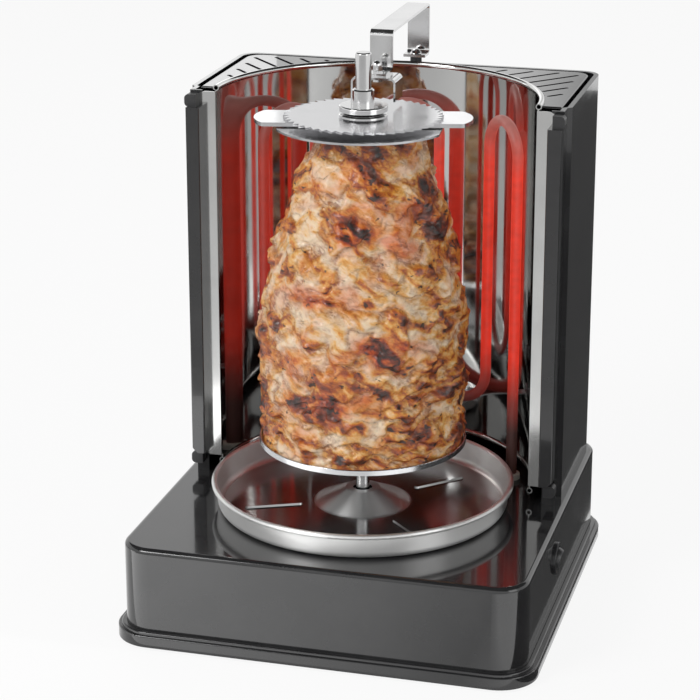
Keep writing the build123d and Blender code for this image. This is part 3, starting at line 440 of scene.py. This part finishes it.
enamel = black_finish(
    "black_enamel", tone=0.017, roughness=0.11, wander=0.03, skin_scale=300.0, skin_depth=0.000005,
    Coat_Weight=0.4, Coat_Roughness=0.02,
)
dress(
    enamel, "base_shell", "column_shell", "top_plate", "left_front_post", "right_front_post", "base_pan",
)
matte_plastic = black_finish(
    "black_plastic", tone=0.02, roughness=0.42, wander=0.06, skin_scale=1400.0, skin_depth=0.00005,
)
dress(matte_plastic, "arm_spacer", "post_sockets", "cord_gland", "thermal_cutout")
rubber = black_finish(
    "black_rubber", tone=0.022, roughness=0.72, wander=0.08, skin_scale=1800.0, skin_depth=0.00008,
)
dress(rubber, "rubber_feet")
switch_plastic = black_finish(
    "switch_plastic", tone=0.03, roughness=0.34, wander=0.04, skin_scale=900.0, skin_depth=0.00002,
)
dress(switch_plastic, "switch_body", "switch_rocker")

# %% [markdown]
# ## Metals
# A metal's look is its stroke marks and its haze. Strokes are fine noise, drawn out along the
# way that the piece was rubbed. Haze is broad noise, like finger marks, which dims the colour
# and changes the gloss. The bright pieces are rubbed from front to back, the way the arm runs,
# the plates have no direction, and the hidden pieces are dull zinc and bronze.

# %% Metal finishes
HAZE_SCALE = 22.0
HAZE_DIM = 0.86


def stroked_metal(name, colour, roughness, scale, depth, stretch=(1, 1, 1), **constants):
    """A bare metal with stroke marks."""
    finish = Finish(name, colour, roughness, metallic=1.0, **constants)
    strokes = finish.noise(scale, detail=4.0, stretch=stretch)
    finish.set("Normal", finish.bump(strokes, depth, strength=0.5))
    return finish


def haze_colour(finish, haze, colour):
    """Dims the colour where the haze is thick, and gives the colour that results."""
    dim = tuple(c * HAZE_DIM for c in colour)
    tone = finish.ramp(haze, ((0.25, dim), (0.7, colour)))
    finish.set("Base Color", tone)
    return tone


def hazed_metal(name, colour, roughness, wander, scale, depth, stretch=(1, 1, 1)):
    """A metal with stroke marks and haze, which keeps its colour output as tone."""
    finish = stroked_metal(name, colour, roughness, scale, depth, stretch)
    haze = finish.noise(HAZE_SCALE, detail=5.0, distortion=0.6)
    finish.set("Roughness", finish.spread(haze, roughness - wander, roughness + wander))
    finish.tone = haze_colour(finish, haze, colour)
    return finish


bright_steel = hazed_metal(
    "bright_steel", grey(0.72), roughness=0.12, wander=0.05, scale=500.0, depth=0.00001,
    stretch=(1, 0.1, 1),
)
dress(
    bright_steel, "drive_socket", "skewer_rod", "clamp_nut", "support_arm", "guide_fork", "fork_bolt",
    "cap_nut", "arm_screw",
)
plate_steel = hazed_metal(
    "plate_steel", grey(0.62, 0.63), roughness=0.2, wander=0.07, scale=420.0, depth=0.00002,
)
dress(plate_steel, "toothed_disc", "ear_plate", "grip_plate", "lower_plate")
zinc = hazed_metal(
    "zinc_steel", (0.55, 0.56, 0.58), roughness=0.4, wander=0.08, scale=300.0, depth=0.00003,
)
dress(zinc, "base_screws", "gear_motor", "motor_plate", "motor_screws", "motor_shaft", "rod_clips")
bronze = hazed_metal(
    "bronze", (0.60, 0.40, 0.20), roughness=0.45, wander=0.08, scale=900.0, depth=0.00003,
)
dress(bronze, "spindle_bush")

# %% [markdown]
# ## Mirror
# The half-round sheet behind the meat is polished, with a trace of upright strokes. Its two
# front flanges look a little duller in the photograph. They are the part of the sheet that lies
# in front of a given depth, so roughness is added there.

# %% Mirror finish
FLANGE_BACK, FLANGE_FADE = 0.0062, 0.0004
FLANGE_DULLER = 0.08
POLISH_BEST, POLISH_WORST = 0.03, 0.09

mirror_colour = grey(0.66, 0.65)
mirror_steel = stroked_metal(
    "polished_steel", mirror_colour, roughness=0.05, scale=160.0, depth=0.00001, stretch=(1, 1, 0.02),
)
haze_colour(mirror_steel, mirror_steel.noise(HAZE_SCALE, detail=5.0, distortion=0.6), mirror_colour)
on_flange = mirror_steel.spread(
    mirror_steel.axis("Y"), 1.0, 0.0, FLANGE_BACK, FLANGE_BACK + FLANGE_FADE
)
flange_extra = mirror_steel.combine("MULTIPLY", on_flange, FLANGE_DULLER)
polish = mirror_steel.spread(mirror_steel.noise(HAZE_SCALE, detail=5.0), POLISH_BEST, POLISH_WORST)
mirror_steel.set("Roughness", mirror_steel.combine("ADD", flange_extra, polish))
dress(mirror_steel, "reflector")

# %% [markdown]
# ## Clamp ring
# The ring on top of the plates has a groove all round. A band by height darkens the steel there,
# as painted shade in the groove.

# %% Clamp ring finish
GROOVE_LOW, GROOVE_HIGH = 0.3608, 0.3630
GROOVE_EDGE = 0.04
# The colour of the painted shade in the groove.
GROOVE_SHADE = grey(0.02)

ring_steel = hazed_metal(
    "ring_steel", grey(0.70), roughness=0.16, wander=0.05, scale=500.0, depth=0.00001,
    stretch=(1, 1, 0.3),
)
# Painted shade: the steel is darkened inside the groove.
up_the_groove = ring_steel.spread(ring_steel.axis("Z"), 0.0, 1.0, GROOVE_LOW, GROOVE_HIGH)
groove_shade = ring_steel.ramp(up_the_groove, (
    (0.0, WHITE), (GROOVE_EDGE, GROOVE_SHADE), (1.0 - GROOVE_EDGE, GROOVE_SHADE), (1.0, WHITE),
))
ring_steel.set("Base Color", ring_steel.blend(1.0, ring_steel.tone, groove_shade, "MULTIPLY"))
dress(ring_steel, "clamp_ring")

# %% [markdown]
# ## Drip tray
# The tray was spun on a lathe, so its strokes run in rings and draw highlights out across them.
# Its floor is smooth and mirrors the dark meat, while the hub and the wall are brushed. The
# colour is painted light and shade: much darker on the floor as painted shade, and paler on the
# hub and the wall as painted light. Colour and roughness change with the distance from the
# spindle, which stands in the middle of the tray.

# %% Drip tray finish
tray_low, tray_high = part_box("drip_tray")
spindle = Vector([round(c, 4) for c in (tray_low + tray_high) / 2])
TRAY_REACH = 0.11
TRAY_ZONES = (0.30, 0.335, 0.90, 0.945)


def tray_stops(hub, floor_middle, floor_edge, wall):
    """Ramp stops where the hub ends, the floor starts, the floor ends and the wall starts."""
    return tuple(zip(TRAY_ZONES, (hub, floor_middle, floor_edge, wall)))


tray_steel = stroked_metal(
    "brushed_steel", grey(0.62, 0.61), roughness=0.22, scale=260.0, depth=0.00002, stretch=(1, 1, 6),
    Anisotropic=0.8, Anisotropic_Rotation=0.25,
)
across_tray = tray_steel.spread(tray_steel.reach(spindle.x, spindle.y), 0.0, 1.0, 0.0, TRAY_REACH)
# Painted light and shade: pale steel on the hub and the wall, dark steel on the floor.
tray_lit_and_shaded_colours = tray_stops(grey(0.84, 0.83), grey(0.40), grey(0.36), grey(0.88, 0.87))
tray_roughness = tray_stops(grey(0.42), grey(0.16), grey(0.18), grey(0.44))
tray_steel.set("Base Color", tray_steel.ramp(across_tray, tray_lit_and_shaded_colours))
tray_steel.set("Roughness", tray_steel.ramp(across_tray, tray_roughness))
dress(tray_steel, "drip_tray")

# %% [markdown]
# ## Ceramic
# The collars at the rod's cold ends and the block for the wires are fired clay: pale, dull and
# slightly grainy, with a mottled tone.

# %% Ceramic finish
ceramic = Finish("ceramic", (0.80, 0.77, 0.71), roughness=0.65)
ceramic.set("Normal", ceramic.bump(ceramic.noise(700.0, detail=4.0), 0.00006, strength=0.6))
mottle = ceramic.ramp(ceramic.noise(120.0), ((0.3, (0.72, 0.68, 0.6)), (0.7, (0.84, 0.81, 0.75))))
ceramic.set("Base Color", mottle)
dress(ceramic, "rod_collars", "terminal_block")

# %% [markdown]
# ## The glowing rod
# The sheath is oxidised steel. Its straight runs glow red, its bends run cooler, and its ends
# stay cold where they pass into the base. So the glow is a ramp along the height, times a slow
# change from the left legs to the right ones, times marks of scale on the sheath.

# %% Heating rod finish
ROD_LOW, ROD_HIGH = 0.08, 0.36
ROD_SIDE = 0.1

rod_finish = Finish("glowing_rod", (0.16, 0.07, 0.06), roughness=0.42, Emission_Strength=1.0)
by_height = rod_finish.ramp(
    rod_finish.spread(rod_finish.axis("Z"), 0.0, 1.0, ROD_LOW, ROD_HIGH),
    (
        (0.11, grey(0.0)),
        (0.19, linear(112, 32, 26)),
        (0.30, linear(214, 46, 30)),
        (0.80, linear(222, 52, 34)),
        (0.88, linear(176, 74, 64)),
        (0.95, linear(138, 96, 90)),
    ),
)
by_side = rod_finish.ramp(
    rod_finish.spread(rod_finish.axis("X"), 0.0, 1.0, -ROD_SIDE, ROD_SIDE),
    ((0.0, (0.42, 0.36, 0.36)), (0.45, (0.7, 0.6, 0.6)), (1.0, WHITE)),
)
scale_marks = rod_finish.ramp(rod_finish.noise(150.0, detail=4.0), ((0.3, grey(0.75)), (0.7, WHITE)))
glow_colour = rod_finish.blend(1.0, by_height, by_side, "MULTIPLY")
rod_finish.set("Emission Color", rod_finish.blend(1.0, glow_colour, scale_marks, "MULTIPLY"))
rod_finish.set("Normal", rod_finish.bump(rod_finish.noise(900.0), 0.00003, strength=0.5))
dress(rod_finish, "heating_rod")

# %% [markdown]
# ## The meat: plain form
# Kebab meat is many slices pressed on the skewer. The form starts as one profile spun round the
# axis, with the same belly, taper and lobes as the plain model of the stack, so that both agree
# from every side. The profile runs out along the bottom, up the side and back in along the top,
# where it leaves room for the nut. All measures of the meat are in millimetres.

# %% Meat profile
SEAT_GAP, CLAMP_GAP = 0.2, 0.1
meat_low, meat_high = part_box("meat")
MEAT_LOW = round(meat_low.z / MM, 1) + SEAT_GAP
MEAT_HIGH = round(meat_high.z / MM, 1) - CLAMP_GAP
MEAT_FOOT = 72.1
BELLY, TAPER, TAPER_START, TAPER_POWER = 1.6, 38.0, 0.35, 1.75
FOOT_SHARE = 0.1
LOBES, LOBE_RELIEF, LOBE_CLIMB, LOBE_PHASE, WAVE_SHARE = 11, 2.6, 24.0, 2.4, 0.7


def smooth_step(low, high, value):
    """Nought below low, one above high, and a soft slope in between."""
    share = np.clip((value - low) / (high - low), 0.0, 1.0)
    return share * share * (3 - 2 * share)


def above_foot(share):
    """Grows from nought to one over the foot of the stack, where it stands on its plate."""
    return np.clip(share / FOOT_SHARE, 0.0, 1.0)


def stack_radius(share):
    """Mean radius of the stack at a share of its height."""
    taper = np.clip((share - TAPER_START) / (1 - TAPER_START), 0.0, 1.0)
    return MEAT_FOOT + BELLY * above_foot(share) - TAPER * taper**TAPER_POWER


def stack_lobes(share, angle):
    """How far the big folds stand in or out at a share of the height and an angle."""
    place = angle / math.pi * LOBES
    first = np.floor(place)
    weight = smooth_step(0.0, 1.0, place - first)

    def fold(index):
        wave = np.cos(LOBE_CLIMB * share + LOBE_PHASE * np.mod(index, 2 * LOBES))
        return WAVE_SHARE * wave - (1 - WAVE_SHARE) * (1 - np.mod(index, 2))

    between = fold(first) * (1 - weight) + fold(first + 1) * weight
    return LOBE_RELIEF * above_foot(share) * between


print("meat from", MEAT_LOW, "to", MEAT_HIGH, "mm, radius", stack_radius(0.0), "at the foot")

# %% [markdown]
# The spin operator turns the profile once round and merges the seam. Faces of about a millimetre
# are fine enough for folds of a few millimetres. The normals are made to point outwards, since a
# spin can leave a shape inside out.

# %% Meat mesh
AROUND, UP, CAP_RINGS = 372, 236, 12
CORE_RADIUS = 5.2
NUT_ROOM, NUT_DEPTH = 12.0, 1.6


def spun_stack():
    """The plain stack: one profile from the core out, up the side and back, spun once round."""
    shares = np.linspace(0.0, 1.0, UP + 1)
    radii = stack_radius(shares)
    heights = MEAT_LOW + shares * (MEAT_HIGH - MEAT_LOW)
    bottom = [(r, MEAT_LOW) for r in np.linspace(CORE_RADIUS, radii[0], CAP_RINGS)[:-1]]
    side = list(zip(radii, heights))
    top_radii = np.linspace(radii[-1], CORE_RADIUS, CAP_RINGS)[1:]
    top = [(r, MEAT_HIGH - (NUT_DEPTH if r < NUT_ROOM else 0.0)) for r in top_radii]
    stack = bmesh.new()
    points = [stack.verts.new((r * MM, 0.0, z * MM)) for r, z in bottom + side + top]
    edges = [stack.edges.new(pair) for pair in zip(points, points[1:])]
    bmesh.ops.spin(
        stack, geom=points + edges, cent=(0, 0, 0), axis=(0, 0, 1), dvec=(0, 0, 0),
        angle=2 * math.pi, steps=AROUND, use_merge=True, use_duplicate=False,
    )
    bmesh.ops.recalc_face_normals(stack, faces=stack.faces)
    return stack


stack = spun_stack()
meat_mesh = bpy.data.meshes.new("roast_meat")
stack.to_mesh(meat_mesh)
stack.free()
print("meat mesh:", len(meat_mesh.vertices), "points")

# %% [markdown]
# ## The meat: fields
# The slices, folds and lumps are fields: smooth noise with a value at every point of the stack.
# Reading them at places that were first pushed about by another noise bends their outlines, as
# soft slices bend. Where a field passes through nought, two slices meet, so a narrow band there
# is a crease. Thin layers, one above the other, show most low down, where the slices lie flat.

# %% Meat fields
SEED_SHIFT = (17.3, 9.1, 5.7)
OCTAVE_FALLOFF, OCTAVE_STEP = 1.0, 2.0


def field(points, size, octaves, seed, stretch=(1.0, 1.0, 1.0)):
    """Fractal noise at points, about -1 to 1, with features of a size times the stretch."""
    scale = Vector([1 / (size * s) for s in stretch])
    shift = Vector([seed * s for s in SEED_SHIFT])
    places = (Vector((p[0] * scale.x, p[1] * scale.y, p[2] * scale.z)) + shift for p in points)
    return np.array([noise.fractal(p, OCTAVE_FALLOFF, OCTAVE_STEP, octaves) for p in places])


def crease_in(values, width):
    """One where a field passes through nought, and nought at a given value away from it."""
    return 1 - smooth_step(0.0, width, np.abs(values))


flat = np.zeros(len(meat_mesh.vertices) * 3)
meat_mesh.vertices.foreach_get("co", flat)
rest = flat.reshape(-1, 3) / MM
radius = np.hypot(rest[:, 0], rest[:, 1])
angle = np.mod(np.arctan2(rest[:, 1], rest[:, 0]), 2 * math.pi)
height_share = np.clip((rest[:, 2] - MEAT_LOW) / (MEAT_HIGH - MEAT_LOW), 0.0, 1.0)
side_radius = stack_radius(height_share)
low_part = 1 - smooth_step(0.16, 0.42, height_share)

WARP_REACH, LUMP_WARP = np.array([9.0, 9.0, 7.0]), 4.0
warp = np.stack([field(rest, size=22.0, octaves=3, seed=seed) for seed in (1.0, 2.0, 3.0)], axis=1)
warped = rest + warp * WARP_REACH
slabs = field(warped, size=25.0, octaves=2, seed=5.0, stretch=(1.25, 1.25, 0.8))
folds = field(warped, size=13.0, octaves=3, seed=6.0, stretch=(1.3, 1.3, 0.75))
lumps = field(rest + warp * LUMP_WARP, size=7.5, octaves=2, seed=7.0, stretch=(1.2, 1.2, 0.9))
pimples = field(rest, size=3.6, octaves=2, seed=8.0)
print("slabs from", round(float(slabs.min()), 2), "to", round(float(slabs.max()), 2))

# %% [markdown]
# The layers are a saw wave along the height, bent by the warp and the folds. Each one stands out
# most near its lower edge and falls back slowly to a crease under the next, as slices that hang
# over each other do. All the creases together are one mask, which the material uses to paint
# shade into the creases.

# %% Meat creases and layers
LAYER = 8.5
LAYER_WANDER, FOLD_WANDER = 11.0, 2.0
LIP_START, LIP_DROP = 0.88, 0.9
LAYER_CREASE_START = 0.80

slab_crease = crease_in(slabs, 0.22)
fold_crease = crease_in(folds, 0.20)
layer_place = (rest[:, 2] + warp[:, 2] * LAYER_WANDER + folds * FOLD_WANDER) / LAYER
layer_step = layer_place - np.floor(layer_place)
layer_lip = 1 - layer_step - smooth_step(LIP_START, 1.0, 1 - layer_step) * LIP_DROP
layer_crease = smooth_step(LAYER_CREASE_START, 1.0, layer_step) * (0.25 + 0.6 * low_part)
# Painted shade: the material darkens the creases with this mask.
crease_shade = np.maximum(np.maximum(slab_crease, fold_crease * 0.6), layer_crease)
print("creased share:", round(float((crease_shade > 0.5).mean()), 2))

# %% [markdown]
# ## The meat: relief
# Every point of the side moves in or out by the sum of its fields, each with a height of its
# own, and by the big lobes. The relief fades where the stack stands on its plate and under the
# clamp. The upper half drifts a little to one side, as a hand-built stack does, and the core
# stays where it is, round the skewer.

# %% Meat relief
SLAB_RELIEF, FOLD_RELIEF, LUMP_RELIEF, PIMPLE_RELIEF = 1.5, 2.0, 0.7, 0.22
LAYER_RELIEF, LOW_LAYER_RELIEF = 0.6, 1.5
SLAB_CREASE_DEPTH, FOLD_CREASE_DEPTH = 1.6, 0.5
SKIN_DEPTH = 0.9
TOP_FLATTER = 0.6
DRIFT, DRIFT_POWER = 4.4, 1.5
NO_RADIUS = 1e-6

raised = (
    np.sign(slabs) * smooth_step(0.0, 0.3, np.abs(slabs)) * SLAB_RELIEF
    + folds * FOLD_RELIEF
    + (layer_lip - 0.5) * (LAYER_RELIEF + LOW_LAYER_RELIEF * low_part)
    + lumps * LUMP_RELIEF
    + pimples * PIMPLE_RELIEF
    - slab_crease * SLAB_CREASE_DEPTH
    - fold_crease * FOLD_CREASE_DEPTH
    - SKIN_DEPTH
)
off_plate = smooth_step(-0.01, 0.03, height_share)
under_clamp = smooth_step(0.9, 1.0, height_share)
raised = raised * off_plate * (1 - TOP_FLATTER * under_clamp)

direction = rest[:, :2] / np.maximum(radius, NO_RADIUS)[:, None]
on_side = smooth_step(0.72, 1.0, radius / side_radius)
away_from_core = smooth_step(0.1, 0.6, radius / side_radius)
upper_half = np.clip(2 * height_share - 1, 0.0, 1.0)
formed = rest.copy()
formed[:, :2] += direction * ((raised + stack_lobes(height_share, angle)) * on_side)[:, None]
formed[:, 0] += DRIFT * upper_half**DRIFT_POWER * away_from_core
formed[:, 1] += spindle.y / MM
meat_mesh.vertices.foreach_set("co", (formed * MM).ravel())
meat_mesh.polygons.foreach_set("use_smooth", [True] * len(meat_mesh.polygons))
meat_mesh.update()
print("meat moved by", round(float(raised.min()), 1), "to", round(float(raised.max()), 1), "mm")

# %% [markdown]
# ## The meat: degree of roast
# Roasting browns the crests and edges, leaves the folds pale and burns a few spots, and some
# slices are redder than others. Patches and streaks set the roast of each point. The streaks
# climb round the stack, because slices never lie quite level. A list of judged regions then
# makes broad parts of the stack paler, browner or redder. Roast, crease and redness are
# kept as a colour attribute on the mesh, which the material reads.

# %% Meat roast
SLANT, SLANT_TURN = 22.0, math.radians(150)
ROAST_LEVEL, PATCH_ROAST, STREAK_ROAST = 0.355, 0.30, 0.36
SLAB_ROAST, RAISED_ROAST, LOW_ROAST = 0.07, 0.012, 0.10
RED_LEVEL, RED_SPREAD = 0.16, 0.7
EDGE_ACROSS, EDGE_ALONG, EDGE_POWER = 9.0, 7.0, 1.5

# Each region: angle in degrees, height, width and tallness in millimetres, more or less roast,
# more or less red. The first ones face the camera, and the last ones lie round the back.
ROAST_REGIONS = (
    (-72, 334, 30, 13, 0.22, 0.0),
    (-84, 290, 21, 16, 0.06, 0.5),
    (-49, 284, 10, 22, 0.20, 0.9),
    (-20, 303, 18, 20, 0.46, 0.3),
    (-75, 255, 50, 26, -0.20, -0.1),
    (-100, 248, 30, 11, 0.16, 0.7),
    (-62, 212, 26, 9, 0.10, 0.7),
    (-84, 224, 32, 13, -0.12, -0.2),
    (-96, 184, 44, 26, 0.10, 0.5),
    (-60, 176, 30, 18, 0.02, -0.3),
    (-18, 205, 18, 62, 0.10, -0.2),
    (-110, 320, 18, 22, -0.10, 0.1),
    (40, 250, 40, 40, 0.18, 0.2),
    (95, 190, 40, 30, 0.16, 0.4),
    (150, 290, 40, 30, 0.20, 0.3),
    (190, 220, 40, 40, -0.10, 0.0),
)


def inside_region(middle_angle, middle_height, wide, tall):
    """One in the middle of a region with a ragged edge, and nought outside it."""
    turn = np.mod(np.degrees(angle) - middle_angle + 180, 360) - 180
    across = np.radians(turn) * side_radius + warp[:, 0] * EDGE_ACROSS
    along = rest[:, 2] - middle_height + warp[:, 1] * EDGE_ALONG
    return np.exp(-(((across / wide) ** 2 + (along / tall) ** 2) ** EDGE_POWER))


slanted = warped.copy()
slanted[:, 2] += SLANT * np.sin(2 * angle + SLANT_TURN) * (1 - low_part)
patches = field(slanted, size=30.0, octaves=3, seed=11.0, stretch=(1.2, 1.2, 0.8))
streaks = field(slanted, size=10.0, octaves=4, seed=12.0, stretch=(2.0, 2.0, 0.7))
reds = field(warped, size=19.0, octaves=3, seed=15.0, stretch=(1.3, 1.3, 0.8))
roast = (
    ROAST_LEVEL + patches * PATCH_ROAST + streaks * STREAK_ROAST
    + np.sign(slabs) * SLAB_ROAST + raised * RAISED_ROAST + low_part * LOW_ROAST
)
red = RED_LEVEL + reds * RED_SPREAD
for *place, more_roast, more_red in ROAST_REGIONS:
    inside = inside_region(*place)
    roast += inside * more_roast
    red += inside * more_red

masks = [np.clip(mask, 0.0, 1.0) for mask in (roast, crease_shade, red)]
colours = np.column_stack([*masks, np.ones(len(roast))])
roast_attribute = meat_mesh.color_attributes.new("roast", "FLOAT_COLOR", "POINT")
roast_attribute.data.foreach_set("color", colours.astype(np.float32).ravel())
print("roast from", round(float(roast.min()), 2), "to", round(float(roast.max()), 2))

# %% [markdown]
# ## The meat: material
# The colour follows the roast, from pale fat over gold and brown to black. Two finer noises make
# the borders ragged, redder slices are tinted, and creases are painted a darker brown, which is
# painted shade as well as browning. Char is speckled: it comes up in spots, and in more of them
# where the roast is darkest. A thin clear coat is the layer of fat.

# %% Meat finish
ROAST_STEPS = (
    (0.00, linear(244, 220, 188)),
    (0.20, linear(238, 200, 154)),
    (0.33, linear(232, 178, 102)),
    (0.45, linear(220, 148, 54)),
    (0.57, linear(192, 104, 32)),
    (0.69, linear(144, 66, 26)),
    (0.81, linear(86, 38, 20)),
    (0.91, linear(46, 26, 18)),
    (1.00, linear(24, 17, 14)),
)
RED_TINT = linear(240, 178, 160)
# Darker brown for the creases, which is painted shade as well as browning.
CREASE_SHADE_BROWN = linear(122, 54, 26)
CHAR_BLACK = linear(40, 24, 18)
CHAR_START, CHAR_FULL, CHAR_MOST = 0.695, 0.75, 0.92
FIBRE_SLANT = 0.5

meat_finish = Finish(
    "roast_meat", (0.6, 0.35, 0.18), roughness=0.4,
    Subsurface_Weight=0.06, Subsurface_Scale=0.002, Coat_Weight=0.4, Coat_Roughness=0.14,
)
attribute = meat_finish.add("ShaderNodeAttribute")
attribute.attribute_name = "roast"
mask_parts = meat_finish.add("ShaderNodeSeparateColor")
meat_finish.join(attribute.outputs["Color"], mask_parts.inputs["Color"])
roast_mask, crease_shade_mask, red_mask = (mask_parts.outputs[name] for name in ("Red", "Green", "Blue"))

ragged = meat_finish.noise(
    88.0, detail=6.0, stretch=(0.7, 0.7, 1.3), distortion=0.5, slant=FIBRE_SLANT
)
grainy = meat_finish.noise(
    260.0, detail=5.0, stretch=(0.7, 0.7, 1.4), distortion=1.2, slant=FIBRE_SLANT
)
wander = meat_finish.combine(
    "ADD", meat_finish.spread(ragged, -0.30, 0.30), meat_finish.spread(grainy, -0.09, 0.09)
)
level = meat_finish.combine("ADD", roast_mask, wander)
tone = meat_finish.ramp(level, ROAST_STEPS)
tone = meat_finish.blend(red_mask, tone, meat_finish.blend(1.0, tone, RED_TINT, "MULTIPLY"))
# Painted shade: the creases are darkened towards brown.
crease_grain = meat_finish.spread(grainy, 0.15, 0.75, 0.35, 0.6)
crease_shade_share = meat_finish.combine("MULTIPLY", crease_shade_mask, crease_grain)
tone = meat_finish.blend(crease_shade_share, tone, CREASE_SHADE_BROWN)
speckle = meat_finish.noise(190.0, detail=4.0, stretch=(0.8, 0.8, 1.3), distortion=0.6)
scorch = meat_finish.combine("ADD", speckle, meat_finish.spread(level, 0.0, 0.14, 0.25, 0.7))
char_share = meat_finish.spread(scorch, 0.0, CHAR_MOST, CHAR_START, CHAR_FULL)
meat_finish.set("Base Color", meat_finish.blend(char_share, tone, CHAR_BLACK))
print("meat colour steps:", len(ROAST_STEPS))

# %% [markdown]
# Fat lies unevenly on the meat, so its gloss varies. The bumps go from fine fibres over strands
# to the ragged patches of the colour, so that form and colour agree. Then the piece rides on the
# skewer, and the plain solid that it stands for is hidden.

# %% Meat gloss and bumps
meat_finish.set("Roughness", meat_finish.spread(meat_finish.noise(160.0), 0.26, 0.6))
fibres = meat_finish.noise(900.0, detail=4.0, stretch=(1, 1, 1.5))
strands = meat_finish.noise(330.0, detail=5.0, stretch=(0.8, 0.8, 1.4), distortion=1.4)
fine = meat_finish.bump(fibres, 0.0006, strength=0.5)
middling = meat_finish.bump(strands, 0.0013, strength=0.6, onto=fine)
meat_finish.set("Normal", meat_finish.bump(ragged, 0.002, strength=0.5, onto=middling))

meat_mesh.materials.append(meat_finish.material)
meat = bpy.data.objects.new("roast_stack", meat_mesh)
bpy.context.scene.collection.objects.link(meat)
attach(meat, "skewer")
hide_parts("meat")
print("meat ready:", len(meat_mesh.polygons), "faces")
